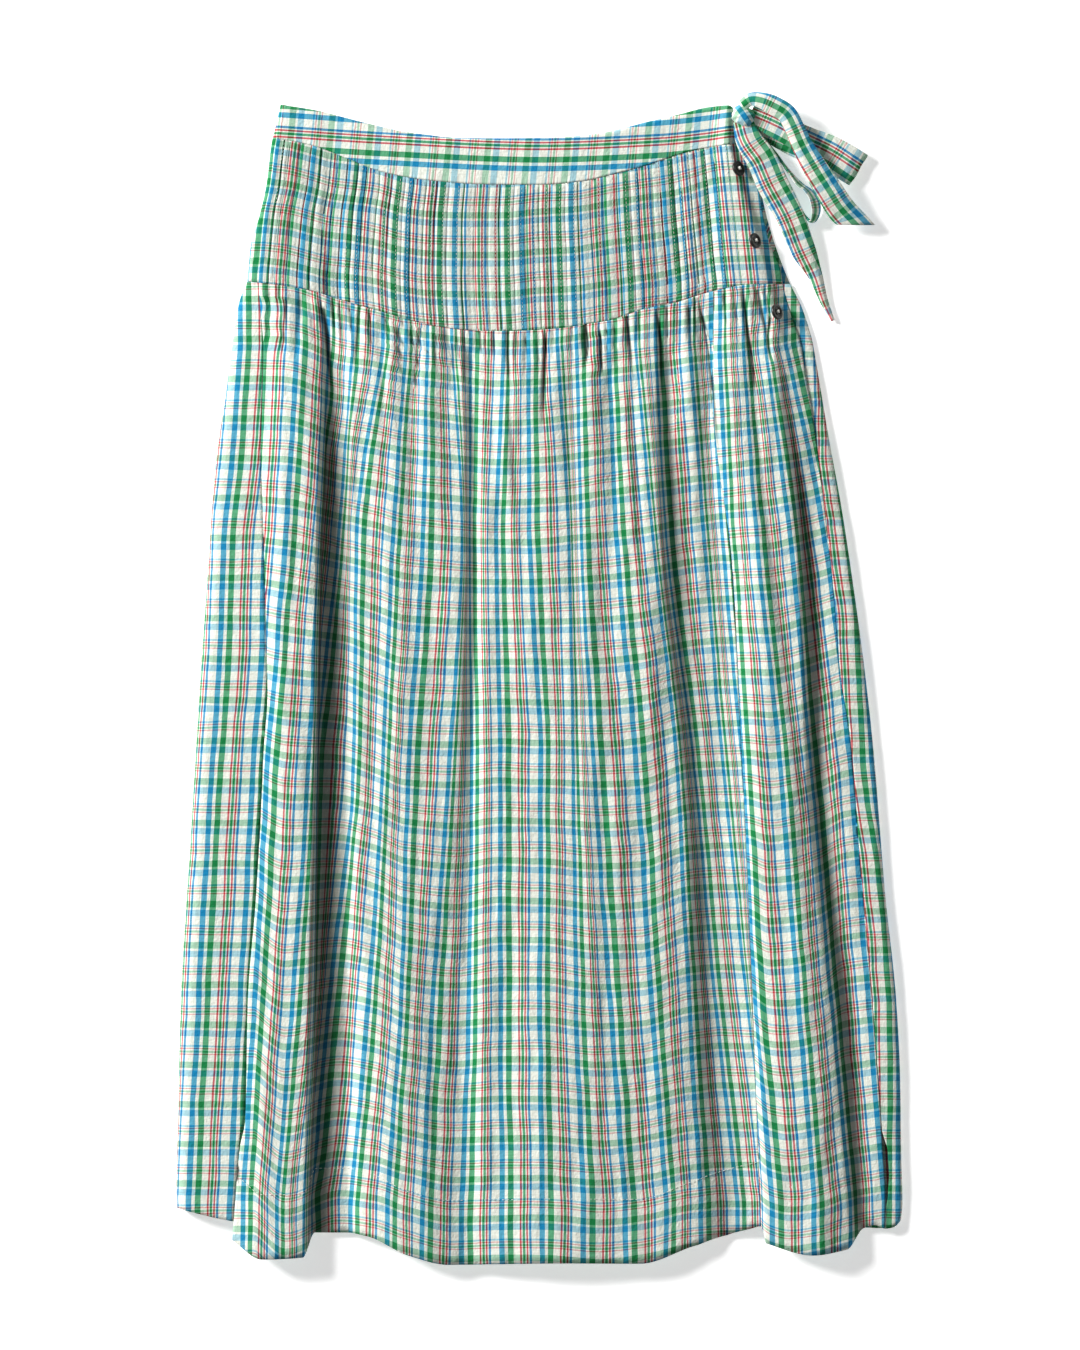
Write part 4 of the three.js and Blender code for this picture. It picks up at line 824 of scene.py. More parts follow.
def front_yoke(rows=64):
    """The yoke: each tuck's profile is set down from its edge, and carries the cloth that shows."""
    profile = np.array([(at, high, np.nan if short is None else short, painted_shade)
                        for at, high, short, painted_shade in TUCK_PROFILE], float)
    tuck = np.repeat(np.arange(TUCK_COUNT), len(profile))
    at, high, short, painted_shade = [np.tile(column, TUCK_COUNT)[None] for column in profile.T]
    plain = np.linspace(0, 1, 26)[None]
    share = np.linspace(0, 1, rows)[:, None]
    waver = lambda x, drop: 0.35 * uneven(x, drop, 8, 24, 31)

    def edges(drop):
        """Each tuck's edge and how wide it is seen, for the columns of the tucks."""
        d = drop[:, :tuck.size]
        left, end = seam_left(d) + SEAM_GAP / 2, tuck_end(d)
        seen = (end - left) * np.array(TUCK_SEEN)[tuck][None] / sum(TUCK_SEEN)
        return lerp(left, end, tuck_places[tuck][None]), seen

    def x_at(drop):
        d = drop[:, :tuck.size]
        left = seam_left(d) + SEAM_GAP / 2
        edge, seen = edges(drop)
        x_tucks = edge + at * np.where(at > 1, seen / 8, 0.9) + waver(edge, d) * (tuck > 0)
        x_tucks[:, 0] = np.maximum(x_tucks[:, 0], left[:, 0])
        d = drop[:, tuck.size:]
        x_plain = lerp(tuck_end(d), seam_right(d) - SEAM_GAP / 2, plain)
        x = np.concatenate([x_tucks, x_plain], axis=1)
        return np.maximum(x, seam_left(drop) + SEAM_GAP / 2)

    shape = (rows, tuck.size + plain.size)
    x, drop = settle(x_at, lambda x: yoke_drop(x, share), shape)
    base = front_height(x, drop)
    crease_height, crease_shade = creases(x, drop)
    raised = np.concatenate([np.broadcast_to(high, (rows, tuck.size)), np.zeros((rows, plain.size))], axis=1)
    # At the seams the tucks are pressed down
    pressed = lerp(0.55, 1, fade(0, 0.06, share) * (1 - fade(0.95, 1, share)))
    uneven_height = 1 + 0.22 * uneven(x, drop, 9, 40, 32)
    z = base + crease_height + raised * pressed * uneven_height + crinkle(x, drop, 0.3)
    z = z - 0.3 * np.exp(-((share * 112 / 1.5) ** 2)) - 0.3 * np.exp(-(((1 - share) * 112 / 1.6) ** 2))
    # Cloth: each tuck starts at its own place in the repeat, and shows from its edge to the next
    edge, seen = edges(drop)
    before = np.tile(np.arange(len(profile)) < TUCK_BEFORE, TUCK_COUNT)[None]
    past = x[:, :tuck.size] - edge
    earlier = tuck_cloth[np.maximum(tuck - 1, 0)] + np.roll(seen, len(profile), axis=1) + past
    tucked = np.where(before, earlier, tuck_cloth[tuck] + np.where(np.isnan(short), past, -short))
    untucked = tuck_cloth[-1] + x[:, tuck.size:] - x[:, tuck.size:tuck.size + 1]
    across = np.concatenate([tucked, untucked], axis=1)
    sag = [(place_x, lower) for place_x, lower in YOKE_SAG]
    down = drop - YOKE_ROW_DROP - smooth(sag)(x) + WEFT_DARKEST * WEFT_REPEAT
    # Painted shade along each tuck's fold edge, of uneven strength, together with the creases' painted shade
    painted_tuck_shade = np.concatenate([np.broadcast_to(painted_shade, (rows, tuck.size)), np.zeros((rows, plain.size))], axis=1)
    strength = 0.72 + 0.28 * uneven(x, drop, 10, 60, 33)
    shade = np.clip(painted_tuck_shade * strength + crease_shade, 0, 1)
    uv = np.stack([across, down], -1)
    uv[..., 1] += 0.5 * uneven(x, drop, 29, 17, 13)
    inner = place(x, drop, base + np.minimum(crease_height, 0) - 0.4)
    piece = shell("yoke_front_cloth", place(x, drop, z), uv, cotton, skip=(4, 5), shade=shade, inner_from=inner)
    return piece


yoke = front_yoke()
finish_cloth(yoke, "yoke_front")


def front_band(rows=22, columns=300):
    """The waistband: its cloth is cut straight, so its stripes sag less than its edges do."""
    share = np.linspace(0, 1, rows)[:, None]
    at = np.linspace(0, 1, columns)[None]
    end_x = lambda drop: seam_right(np.minimum(drop, BAND_END_DROP))
    x_at = lambda drop: lerp(seam_left(drop) + SEAM_GAP / 2, end_x(drop) - SEAM_GAP / 2, at)
    drop_at = lambda x: lerp(band_top_front(x), band_seam(x) - SEAM_GAP / 2, share)
    x, drop = settle(x_at, drop_at, (rows, columns))
    base = front_height(x, drop)
    z = base + 0.3 + crinkle(x, drop, 0.3) - 0.9 * np.exp(-((share * 36 / 1.1) ** 2))
    uv = band_cloth(x, drop)
    inner = place(x, drop, base - 0.5)
    return shell("waistband_front_cloth", place(x, drop, z), uv, cotton, thickness=BAND_WALL, skip=(4, 6),
                 inner_from=inner)


BAND_GREEN = [(-200, 33), (-120, 38), (0, 42.8), (90, 39.5), (150, 33)]  # x and drop of the green stripe
BAND_TURNED = -6.1  # the lower edge is turned under along a white stripe


def band_cloth(x, drop):
    """The band's cloth: warp stripes run along it, in the other order from those down the skirt."""
    across = np.maximum(GREEN_CENTRE - (drop - smooth(BAND_GREEN)(x)), BAND_TURNED)
    return np.stack([across, x + 8 + 0.1 * drop], -1)


band = front_band()
finish_cloth(band, "waistband_front")

# The pieces behind. A path across the section is worked out for every column at once: from the
# upper layer at the left, round the left outline, along the surface and up round the right one.
TURN_COLUMNS = 18
FLOOR_BASE = 15  # from the left outline to the first column that lies on the surface
UNDER_REACH = 46  # how far the plain side panel runs in under the skirt


def side_reach(strip, most):
    return np.clip(strip, 2.6, most)


def half_ellipse(outline, reach, high, side, share):
    """From the upper layer at share 0 round the outline to the surface at share 1."""
    angle = np.pi * (0.5 - share)
    return outline + side * reach * (np.cos(angle) - 1), high / 2 * (1 + np.sin(angle))


def left_turn(drop, upper_share, turn_share):
    """x and z of the columns on the upper layer left of the seam, and then round the outline."""
    sag = 0.6
    seam, outline = seam_left(drop) - SEAM_GAP / 2, outline_left(drop)
    high = line_height[0](drop)
    reach = side_reach(0.8 * (seam - outline), 10)
    upper_x = lerp(seam, outline + reach, upper_share)
    upper_z = high - sag * upper_share
    turn_x, turn_z = half_ellipse(outline, reach, high - sag, -1, turn_share)
    return upper_x, upper_z, turn_x, turn_z


def wall_behind(name, path, drop_at, shape, cloth, **options):
    """A wall behind whose rows are given by drop_at and whose section by path."""
    x = np.zeros(shape)
    drop = drop_at(x)
    for _ in range(4):
        x, z = path(drop)
        drop = drop_at(x)
    lift = fade(1.5, 5, z)
    z = z + crinkle(x, drop, 0.5) * lift
    along = distance_along(x, z)
    uv = cloth(x, drop, z, along)
    outer = place(x, drop, z)
    # The paths run with the garment's inside on their left, so they are turned round to face out
    return shell(name, outer[:, ::-1], uv[:, ::-1], cotton, **options)


def plain_side_path(drop):
    columns = drop.shape[1]
    upper, floor = 12, columns - 12 - TURN_COLUMNS
    d = drop[:, :upper]
    ux, uz, _, _ = left_turn(d, np.linspace(0, 1, upper + 1)[None, :-1], 0)
    d = drop[:, upper:upper + TURN_COLUMNS]
    _, _, tx, tz = left_turn(d, 0, np.linspace(0, 1, TURN_COLUMNS)[None])
    d = drop[:, upper + TURN_COLUMNS:]
    start = left_turn(d, 0, 1)[2]
    fx = lerp(start, outline_left(d) + UNDER_REACH, np.linspace(0, 1, floor + 1)[None, 1:])
    return np.concatenate([ux, tx, fx], axis=1), np.concatenate([uz, tz, 0 * fx], axis=1)


def panel_rows(rows):
    """Rows of a panel behind, from the yoke seam to its hem."""
    share = np.linspace(0, 1, rows)[:, None]
    return lambda x: lerp(yoke_seam(x) + SEAM_GAP, hem_behind(x), share)


def left_strip_cloth(x, drop, z, along):
    """Cloth of the plain side: its blue stripe runs down the strip that shows."""
    stripe = smooth(LEFT_STRIP_BLUE)(drop)
    upper = np.maximum.accumulate(z < 0.5 * z[:, :1], axis=1)
    short = np.where(upper, 1e3, x - stripe)
    nearest = np.abs(short).argmin(axis=1)[:, None]
    at = np.take_along_axis(along, nearest, 1) + np.take_along_axis(short, nearest, 1)
    down = drop - FRONT_ROW_DROP + 34 - 8 * fade(300, 700, drop) + WEFT_DARKEST * WEFT_REPEAT
    return wander(x, drop, np.stack([BLUE_CENTRE - (along - at), down], -1))


plain_side = wall_behind("skirt_side_plain_cloth", plain_side_path, panel_rows(180), (180, 44),
                         left_strip_cloth, skip=(5, 3))
finish_cloth(plain_side, "skirt_side_plain")


def back_path(drop):
    """The back panel: along the surface, then up round the right outline to the placket edge."""
    columns = drop.shape[1]
    upper = 8
    floor = columns - TURN_COLUMNS - upper
    d = drop[:, :floor]
    outline = outline_right(d)
    seam = seam_right(d) + SEAM_GAP / 2 + slit_at_hem(d)
    reach = side_reach(0.56 * (outline - seam), 7)
    fx = lerp(outline_left(d) + UNDER_REACH + SEAM_GAP, outline - reach, np.linspace(0, 1, floor + 1)[None, :-1])
    d = drop[:, floor:]
    outline = outline_right(d)
    seam = seam_right(d) + SEAM_GAP / 2 + slit_at_hem(d)
    high = line_height[-1](d) - 0.4
    reach = side_reach(0.56 * (outline - seam), 7)
    turn = np.linspace(1, 0, TURN_COLUMNS)[None]
    tx, tz = half_ellipse(outline[:, :TURN_COLUMNS], reach[:, :TURN_COLUMNS], high[:, :TURN_COLUMNS], 1, turn)
    start = (outline - reach)[:, TURN_COLUMNS:]
    share = np.linspace(0, 1, upper + 1)[None, 1:]
    ux = lerp(start, seam[:, TURN_COLUMNS:], share)
    uz = high[:, TURN_COLUMNS:] + 0.2 * share
    return np.concatenate([fx, tx, ux], axis=1), np.concatenate([0 * fx, tz, uz], axis=1)


def back_cloth(x, drop, z, along):
    """Cloth of the back: its green stripe runs down the strip that shows at the right."""
    stripe = smooth(RIGHT_STRIP_GREEN)(drop)
    short = np.where(z < 0.5 * z[:, -1:], 1e3, x - stripe)
    nearest = np.abs(short).argmin(axis=1)[:, None]
    at = np.take_along_axis(along, nearest, 1) + np.take_along_axis(short, nearest, 1)
    down = drop - FRONT_ROW_DROP + 22 + WEFT_DARKEST * WEFT_REPEAT
    return wander(x, drop, np.stack([GREEN_CENTRE + (along - at), down], -1))


back = wall_behind("skirt_back_cloth", back_path, panel_rows(180), (180, 116), back_cloth, skip=(5, 3))
finish_cloth(back, "skirt_back")


def around_left_path(right_end):
    """The path of a back yoke or band: as the plain side's, and on along the surface to right_end."""

    def path(drop):
        columns = drop.shape[1]
        upper = 8
        floor = columns - upper - TURN_COLUMNS
        ux, uz, _, _ = left_turn(drop[:, :upper], np.linspace(0, 1, upper + 1)[None, :-1], 0)
        d = drop[:, upper:upper + TURN_COLUMNS]
        _, _, tx, tz = left_turn(d, 0, np.linspace(0, 1, TURN_COLUMNS)[None])
        d = drop[:, upper + TURN_COLUMNS:]
        fx = lerp(left_turn(d, 0, 1)[2], right_end(d), np.linspace(0, 1, floor + 1)[None, 1:])
        return np.concatenate([ux, tx, fx], axis=1), np.concatenate([uz, tz, 0 * fx], axis=1)

    return path


def yoke_back_cloth(x, drop, z, along):
    down = drop - YOKE_ROW_DROP + 26 + WEFT_DARKEST * WEFT_REPEAT
    return wander(x, drop, np.stack([12.0 - along, down], -1))


yoke_right = lambda drop: np.maximum(outline_right(drop), seam_right(drop) + 1.1)
share_rows = np.linspace(0, 1, 40)[:, None]
yoke_behind = wall_behind("yoke_back_cloth", around_left_path(yoke_right),
                          lambda x: yoke_drop(x, share_rows), (40, 110), yoke_back_cloth, skip=(4, 3))
finish_cloth(yoke_behind, "yoke_back")

band_right = lambda drop: seam_right(np.minimum(drop, BAND_END_DROP)) - 1
band_rows = np.linspace(0, 1, 16)[:, None]
band_behind = wall_behind("waistband_back_cloth", around_left_path(band_right),
                          lambda x: lerp(band_top_back(x), band_seam(x) - SEAM_GAP / 2, band_rows), (16, 110),
                          lambda x, drop, z, along: band_cloth(x, drop), thickness=BAND_WALL, skip=(3, 3))
finish_cloth(band_behind, "waistband_back")


def curve_through(points, per_bend):
    """A smooth curve through points, with the square root of each chord as its parameter, so that it
    makes no loop where points are uneven. Returns places and unit directions."""
    ends = np.concatenate([[2 * points[0] - points[1]], points, [2 * points[-1] - points[-2]]])
    step = np.sqrt(np.linalg.norm(np.diff(ends, axis=0), axis=1))[:, None]
    rise = np.diff(ends, axis=0) / step
    tangent = rise[:-1] + rise[1:] - (ends[2:] - ends[:-2]) / (step[:-1] + step[1:])
    t = np.linspace(0, 1, per_bend, endpoint=False)[None, :, None]
    first, last, width = points[:-1, None], points[1:, None], step[1:-1, None]
    leave, arrive = tangent[:-1, None] * width, tangent[1:, None] * width
    spots = ((2 * t**3 - 3 * t**2 + 1) * first + (t**3 - 2 * t**2 + t) * leave
             + (3 * t**2 - 2 * t**3) * last + (t**3 - t**2) * arrive)
    spots = np.concatenate([spots.reshape(-1, 3), points[-1:]])
    ahead = np.gradient(spots, axis=0)
    return spots, ahead / np.linalg.norm(ahead, axis=1, keepdims=True)


def ribbon(name, bends, stripe_start, stripe_way, crown=1.0, per_bend=7, around=28, seed=1):
    """A pressed tube of cloth along a curve: its section is a flat oval as wide as the strap, crowned
    where it lies, with lengthwise creases. Both ends are closed."""
    table = np.array(bends, float)
    centres = np.stack([table[:, 0], -table[:, 1], table[:, 2]], -1)
    spots, ahead = curve_through(centres, per_bend)
    bend = np.linspace(0, len(table) - 1, len(spots))
    width, turn, lean, slant = [smooth(list(enumerate(table[:, c])))(bend)[:, None] for c in (3, 4, 5, 6)]
    turn, lean = np.radians(turn), np.radians(lean)
    across = np.concatenate([np.cos(lean) * np.cos(turn), np.cos(lean) * np.sin(turn), np.sin(lean)], axis=1)
    up = np.cross(ahead, across)
    up = up / np.linalg.norm(up, axis=1, keepdims=True)
    sideways = np.cross(up, ahead)
    angle = np.linspace(0, 2 * np.pi, around, endpoint=False)[None]
    way = np.sign(np.cos(angle)) * np.abs(np.cos(angle)) ** 0.8
    face = np.sign(np.sin(angle)) * np.abs(np.sin(angle)) ** 0.6
    length = np.concatenate([[0], np.cumsum(np.linalg.norm(np.diff(spots, axis=0), axis=1))])[:, None]
    flat = np.degrees(lean) < 45
    lift = np.where(flat, crown * (1 - way**2), 0)
    soft = 0.4 * uneven(way * width / 2 + 3 * seed, length + 0 * way, 4.5, 22, 40 + seed)
    soft = soft + 0.35 * np.sin(way * 5.2 + 0.04 * length + seed) * np.clip(width / 12, 0, 1)
    thin = 0.95 - 0.35 * np.abs(way) ** 3
    offset_up = lift + face * thin + soft * (1 - way**2)
    offset_side = way * width / 2
    points = (spots[:, None] + sideways[:, None] * offset_side[..., None] + up[:, None] * offset_up[..., None]
              + ahead[:, None] * (way * slant)[..., None])
    rows = len(spots)
    number = np.arange(rows * around).reshape(rows, around)
    a, b = number[:-1], number[1:]
    quads = np.stack([a, np.roll(a, -1, 1), np.roll(b, -1, 1), b], -1).reshape(-1, 4)
    uv = np.stack([stripe_start + stripe_way * (offset_side + 0 * length), length + 0 * way], -1)
    points = points.reshape(-1, 3)
    points = np.stack([points[:, 0] + SHIFT_X, MIDDLE_DROP + points[:, 1] + SHIFT_Y, points[:, 2]], -1) * MM
    caps = [number[:1, ::-1], number[-1:]]
    return new_piece(name, points, [quads, *caps], cotton, uv.reshape(-1, 2), np.zeros(len(points)))


TIES = [  # piece, node, bends, cloth at its middle and its way across, crown, its cut and seed
    ("tie_tail_long_cloth", "tie_tail_long", LONG_TAIL, 16, -1, 1, (0.022, 0.17), 1),
    ("tie_tail_upper_cloth", "tie_tail_upper", UPPER_TAIL, 8.8, -1, 1, (0.020, 0.15), 2),
    ("tie_loop_flat_cloth", "tie_loop_flat", FLAT_LOOP, 17.5, 1, 0.5, (0.026, 0.18), 3),
    ("tie_loop_standing_cloth", "tie_loop_standing", STANDING_LOOP, 6, 1, 0, (0.015, 0.18), 4),
]
for tie_name, tie_node, bends, stripe_start, stripe_way, crown, flat, seed in TIES:
    tie = ribbon(tie_name, bends, stripe_start, stripe_way, crown=crown, seed=seed)
    finish_cloth(tie, tie_node)


def knot_of_tie(rings=56, around=72):
    """The knot: a ball whose corners are squared off, wrapped by a strap that runs over it at a slant
    and stands a little proud, with soft pleats drawn in to it."""
    theta = np.linspace(0, np.pi, rings)[:, None]
    phi = np.linspace(0, 2 * np.pi, around, endpoint=False)[None]
    ball = [np.sin(theta) * np.cos(phi), np.sin(theta) * np.sin(phi), np.cos(theta) + 0 * phi]
    x, y, z = [np.sign(v) * np.abs(v) ** 0.75 for v in ball]
    strap = np.exp(-((x * 0.8 + y * 0.55) / 0.42) ** 4)
    pleats = 0.035 * np.sin(13 * (x * 0.55 - y * 0.8) + 2 * z) * (1 - strap)
    grown = 1 + 0.05 * strap + pleats - 0.05
    x, y, z = x * grown * KNOT["across"], y * grown * KNOT["along"], z * grown * KNOT["high"]
    turn = math.radians(KNOT["turn"])
    east, north = x * math.cos(turn) - y * math.sin(turn), x * math.sin(turn) + y * math.cos(turn)
    low = np.maximum(z + KNOT["z"], 0.4)
    points = np.stack([east + KNOT["x"] + SHIFT_X, north + MIDDLE_DROP - KNOT["drop"] + SHIFT_Y, low], -1) * MM
    number = np.arange(rings * around).reshape(rings, around)[1:-1]
    a, b = number[:-1], number[1:]
    quads = np.stack([a, b, np.roll(b, -1, 1), np.roll(a, -1, 1)], -1).reshape(-1, 4)
    poles = [number[:1], number[-1:, ::-1]]
    uv = np.stack([2 + east * 0.8 + north * 0.55, east * 0.55 - north * 0.8 + z], -1)
    used = np.arange(around, (rings - 1) * around)
    faces = [f - around for f in (quads, *poles)]
    return new_piece("tie_knot_cloth", points.reshape(-1, 3)[used], faces, cotton, uv.reshape(-1, 2)[used],
                     np.zeros(len(used)))


knot = knot_of_tie()
finish_cloth(knot, "tie_knot")


def button_body(name, material):
    """A four-hole horn button about the origin: a turned profile with a rounded rim and a dished
    middle, drilled by a boolean cut."""
    rim, dish, rim_width = 0.65, 0.8, 1.7
    r, t = BUTTON_RADIUS, BUTTON_THICKNESS
    arc = np.linspace(0, np.pi / 2, 6)
    lower = np.stack([r - rim + rim * np.sin(arc), rim - rim * np.cos(arc)], -1)
    upper = np.stack([r - rim + rim * np.cos(arc), t - rim + rim * np.sin(arc)], -1)
    slope = np.linspace(0, 1, 6)[1:]
    inside = np.stack([r - rim_width - dish * slope, t - dish * fade(0, 1, slope)], -1)
    profile = np.concatenate([[(0.01, 0)], lower, upper, [(r - rim_width, t)], inside, [(0.01, t - dish)]])
    around = 64
    angle = np.linspace(0, 2 * np.pi, around, endpoint=False)[None]
    radius, height = profile[:, :1], profile[:, 1:]
    points = np.stack([radius * np.cos(angle), radius * np.sin(angle), height + 0 * angle], -1)
    number = np.arange(points[..., 0].size).reshape(points.shape[:2])
    a, b = number[:-1], number[1:]
    quads = np.stack([a, np.roll(a, -1, 1), np.roll(b, -1, 1), b], -1).reshape(-1, 4)
    faces = [quads, number[:1, ::-1], number[-1:]]
    body = new_piece(name, points.reshape(-1, 3) * MM, faces, material)
    for i in range(4):
        way = math.pi * (0.25 + i / 2)
        spot = (BUTTON_HOLE_CIRCLE * math.cos(way) * MM, BUTTON_HOLE_CIRCLE * math.sin(way) * MM, t / 2 * MM)
        bpy.ops.mesh.primitive_cylinder_add(vertices=20, radius=BUTTON_HOLE_RADIUS * MM, depth=4 * t * MM,
                                            location=spot)
        drill = bpy.context.object
        cut = body.modifiers.new("hole", "BOOLEAN")
        cut.operation, cut.solver, cut.object = "DIFFERENCE", "EXACT", drill
        with bpy.context.temp_override(object=body, active_object=body, selected_objects=[body]):
            bpy.ops.object.modifier_apply(modifier=cut.name)
        bpy.data.objects.remove(drill)
    return body


def tipped(points, tilt, facing):
    """Points turned as a button is: tipped from level and then turned to face its way."""
    tilt, facing = math.radians(tilt), math.radians(facing)
    x = points[..., 0] * math.cos(tilt) + points[..., 2] * math.sin(tilt)
    z = -points[..., 0] * math.sin(tilt) + points[..., 2] * math.cos(tilt)
    y = points[..., 1]
    return np.stack([x * math.cos(facing) - y * math.sin(facing), x * math.sin(facing) + y * math.cos(facing), z], -1)


def sausages(name, starts, ends, radius, bulge, material, sides=6, rings=5):
    """Short threads, one for each start and end: a thin round body that swells in the middle and
    rises over its chord by bulge, all joined in one mesh. Places are in metres."""
    starts, ends = np.asarray(starts, float), np.asarray(ends, float)
    ahead = ends - starts
    ahead = ahead / np.linalg.norm(ahead, axis=1, keepdims=True)
    up = np.tile([0.0, 0.0, 1.0], (len(starts), 1)) + 1e-3
    sideways = np.cross(ahead, up)
    sideways = sideways / np.linalg.norm(sideways, axis=1, keepdims=True)
    up = np.cross(sideways, ahead)
    t = np.linspace(0, 1, rings)
    angle = np.linspace(0, 2 * np.pi, sides, endpoint=False)
    swell = radius * (0.35 + 0.65 * np.sin(np.pi * t) ** 0.5)
    spine = starts[:, None] + (ends - starts)[:, None] * t[None, :, None]
    spine = spine + up[:, None] * (bulge * np.sin(np.pi * t))[None, :, None]
    ring = (sideways[:, None, None] * np.cos(angle)[None, None, :, None]
            + up[:, None, None] * np.sin(angle)[None, None, :, None])
    points = spine[:, :, None] + ring * swell[None, :, None, None]
    number = np.arange(points[..., 0].size).reshape(points.shape[:3])
    a, b = number[:, :-1], number[:, 1:]
    quads = np.stack([a, b, np.roll(b, -1, 2), np.roll(a, -1, 2)], -1).reshape(-1, 4)
    caps = [number[:, 0], number[:, -1, ::-1]]
    piece = new_piece(name, points.reshape(-1, 3), [quads, *caps], material)
    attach(piece, "root")
    return piece


cross_starts, cross_ends = [], []
for i, (x, drop, tilt, facing) in enumerate(BUTTONS):
    button = button_body(f"button_{i + 1}_horn", horn)
    count = len(button.data.vertices)
    points = np.empty(3 * count)
    button.data.vertices.foreach_get("co", points)
    turned = tipped(points.reshape(-1, 3), tilt, facing)
    under = front_height(x + turned[:, 0] / MM, drop - turned[:, 1] / MM)
    seat = (under - turned[:, 2] / MM).max() + BUTTON_GAP
    spot = place(np.array(x), np.array(drop), np.array(seat))
    button.data.vertices.foreach_set("co", (turned + spot).ravel())
    button.data.update()
    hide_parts(f"button_{i + 1}")
    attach(button, "root")
    holes = [math.pi * (0.25 + k / 2) for k in range(4)]
    corners = np.array([[BUTTON_HOLE_CIRCLE * math.cos(w), BUTTON_HOLE_CIRCLE * math.sin(w),
                         BUTTON_THICKNESS + 0.1] for w in holes]) * MM
    corners = tipped(corners, tilt, facing) + spot
    cross_starts += [corners[0], corners[1]]
    cross_ends += [corners[2], corners[3]]
sausages("button_threads", cross_starts, cross_ends, 0.8 * MM, 0.8 * MM, thread, sides=10, rings=9)


def stitch_row(x_at, drop_at, length, gap, raised):
    """Starts and ends of a row of stitches along a path given by x and drop at a share from 0 to 1."""
    fine = np.linspace(0, 1, 400)
    xs, drops = x_at(fine), drop_at(fine)
    run = np.concatenate([[0], np.cumsum(np.hypot(np.diff(xs), np.diff(drops)))])
    first = np.arange(gap / 2, run[-1] - length, length + gap)
    sides = []
    for at in (first, first + length):
        share = np.interp(at, run, fine)
        x, drop = x_at(share), drop_at(share)
        sides.append(place(x, drop, front_height(x, drop) + creases(x, drop)[0] + raised))
    return sides


STITCH = 1.9  # length of a stitch
STITCH_GAP = 1.1
tuck_starts, tuck_ends = [], []
for tuck in range(1, TUCK_COUNT):

    def tuck_x(share, tuck=tuck):
        drop = lerp(62.0, 150.0, share)
        left, end = seam_left(drop) + SEAM_GAP / 2, tuck_end(drop)
        edge = lerp(left, end, tuck_places[tuck])
        stitch = TUCK_STITCH * (end - left) * TUCK_SEEN[tuck] / sum(TUCK_SEEN) / 8
        return edge + stitch + 0.35 * uneven(edge, drop, 8, 24, 31)

    def tuck_drop(share, tuck_x=tuck_x):
        x = tuck_x(share)
        return yoke_drop(x, lerp(0.015, 0.985, share))

    starts, ends = stitch_row(tuck_x, tuck_drop, STITCH, STITCH_GAP, 0.45)
    tuck_starts.append(starts)
    tuck_ends.append(ends)
sausages("tuck_stitches", np.concatenate(tuck_starts), np.concatenate(tuck_ends), 0.17 * MM, 0.14 * MM, thread,
         sides=5, rings=4)

hem_starts, hem_ends = stitch_row(
    lambda share: lerp(-229.0, 166.0, share),
    lambda share: hem_at(np.interp(lerp(-229.0, 166.0, share), [float(at(np.array(820.0))) for at in line_x],
                                   np.arange(len(line_x)))) - HEM_TURNING,
    2.2, 1.3, 0.2)
sausages("hem_stitches", hem_starts, hem_ends, 0.22 * MM, 0.12 * MM, thread, sides=5, rings=4)

end_starts, end_ends = stitch_row(lambda share: lerp(177.0, 196.5, share), lambda share: 180.5 + 0 * share,
                                  1.8, 0.8, 0.5)
sausages("placket_end_stitches", end_starts, end_ends, 0.24 * MM, 0.15 * MM, thread, sides=5, rings=4)


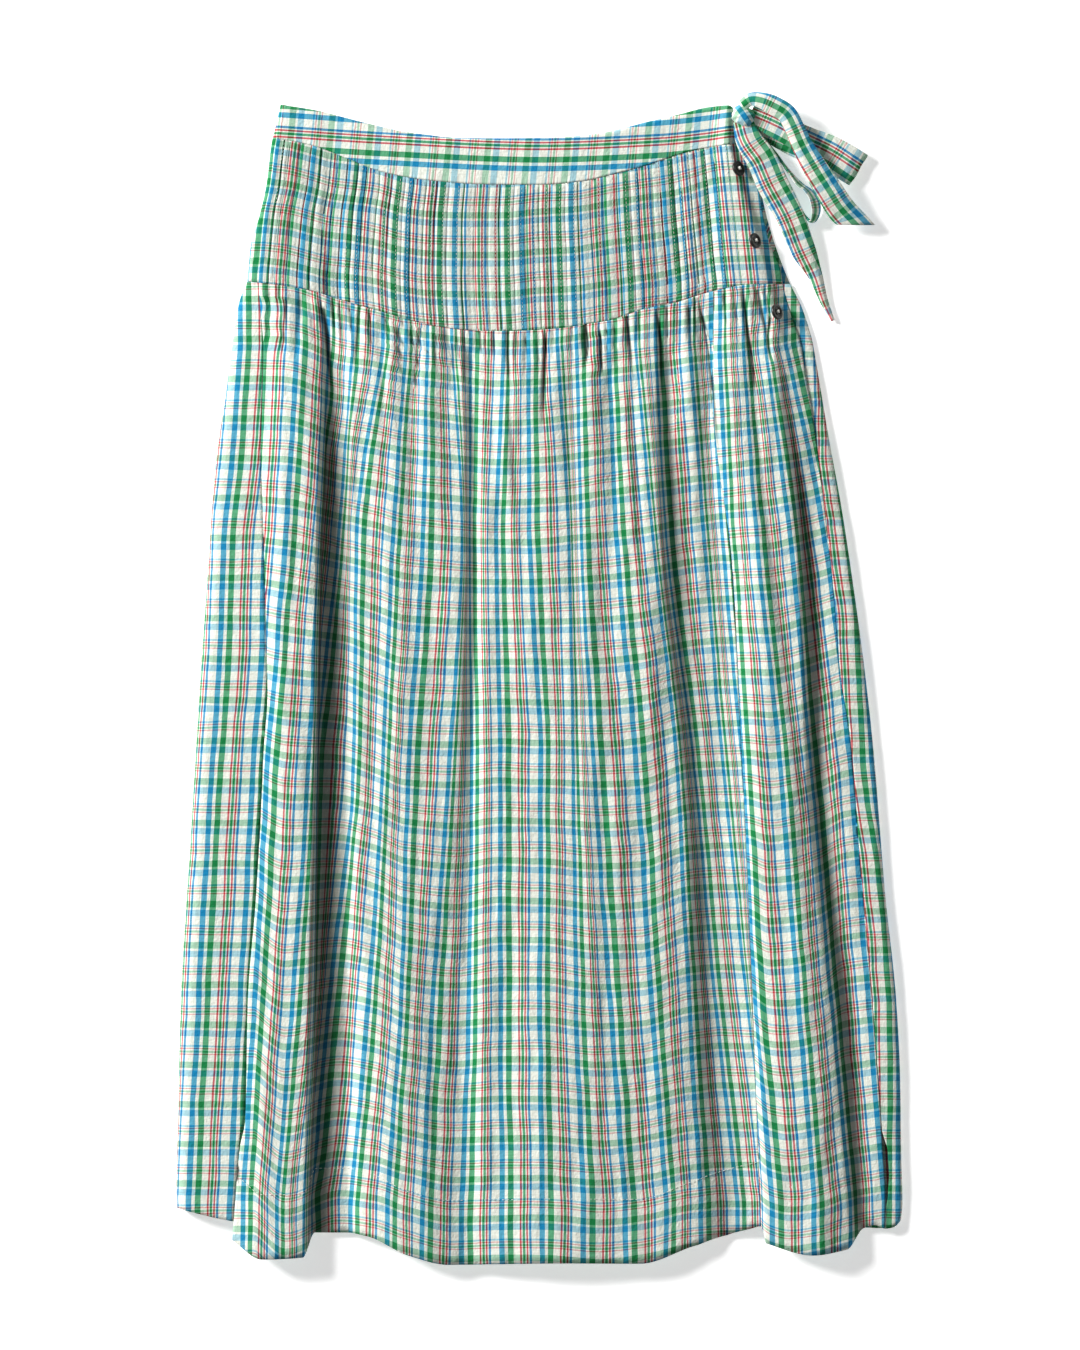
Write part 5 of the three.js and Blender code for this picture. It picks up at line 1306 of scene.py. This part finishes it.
def pale_floor():
    """A matt white light table, lit softly from below, so that the shadows on it are pale."""
    material, tree = new_material("matt_white_light_table")
    shader = node(tree, "BsdfPrincipled")
    shader.inputs["Base Color"].default_value = hex_to_linear("#FCFCFC")
    shader.inputs["Roughness"].default_value = 0.9
    shader.inputs["Specular IOR Level"].default_value = 0.1
    shader.inputs["Emission Color"].default_value = (1, 1, 1, 1)
    shader.inputs["Emission Strength"].default_value = 0.46
    node(tree, "OutputMaterial", {"Surface": shader.outputs[0]})
    reach, low = 4.0, -FLOOR_GAP * MM
    corners = np.array([(-reach, -reach, low), (reach, -reach, low), (reach, reach, low), (-reach, reach, low)])
    floor = new_piece("floor", corners, [np.array([[0, 1, 2, 3]])], material)
    floor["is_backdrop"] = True


pale_floor()


def light(name, size, energy, spot, colour):
    """A square soft light that looks at the middle of the skirt."""
    data = bpy.data.lights.new(name, "AREA")
    data.size, data.energy, data.color = size, energy, colour
    lamp = bpy.data.objects.new(name, data)
    lamp.location = spot
    lamp.rotation_euler = (-lamp.location).to_track_quat("-Z", "Y").to_euler()
    bpy.context.scene.collection.objects.link(lamp)


light("key_upper_left", 1.5, 545, (-4.2, 2.4, 2.75), (1.0, 0.998, 0.99))
world = bpy.data.worlds.new("studio")
bpy.context.scene.world = world
world.use_nodes = True
world.node_tree.nodes["Background"].inputs["Color"].default_value = (1, 1, 1, 1)
world.node_tree.nodes["Background"].inputs["Strength"].default_value = 0.21

# The camera looks straight down through a long lens. One photo pixel is 0.76 mm on the skirt.
PHOTO_WIDTH, PHOTO_HEIGHT, PIXEL = 1080, 1350, 0.76
LEFT_TIP_X, LEFT_TIP_Y = 539.5, 103  # the photo pixel at x 0 and drop 0
camera_data = bpy.data.cameras.new("camera")
camera = bpy.data.objects.new("camera", camera_data)
height = 6.0
camera_data.sensor_fit = "AUTO"
camera_data.lens = camera_data.sensor_width * height / (PHOTO_HEIGHT * PIXEL * MM)
middle = place(np.array((PHOTO_WIDTH / 2 - LEFT_TIP_X) * PIXEL), np.array((PHOTO_HEIGHT / 2 - LEFT_TIP_Y) * PIXEL),
               np.array(12.0))
camera.location = (middle[0], middle[1], middle[2] + height)
camera_data.clip_end = 50
bpy.context.scene.collection.objects.link(camera)
bpy.context.scene.camera = camera
bpy.context.scene.view_settings.view_transform = "Standard"

shown_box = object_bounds()
{"cad": [list(corner) for corner in cad_box], "shown": [list(corner) for corner in shown_box]}
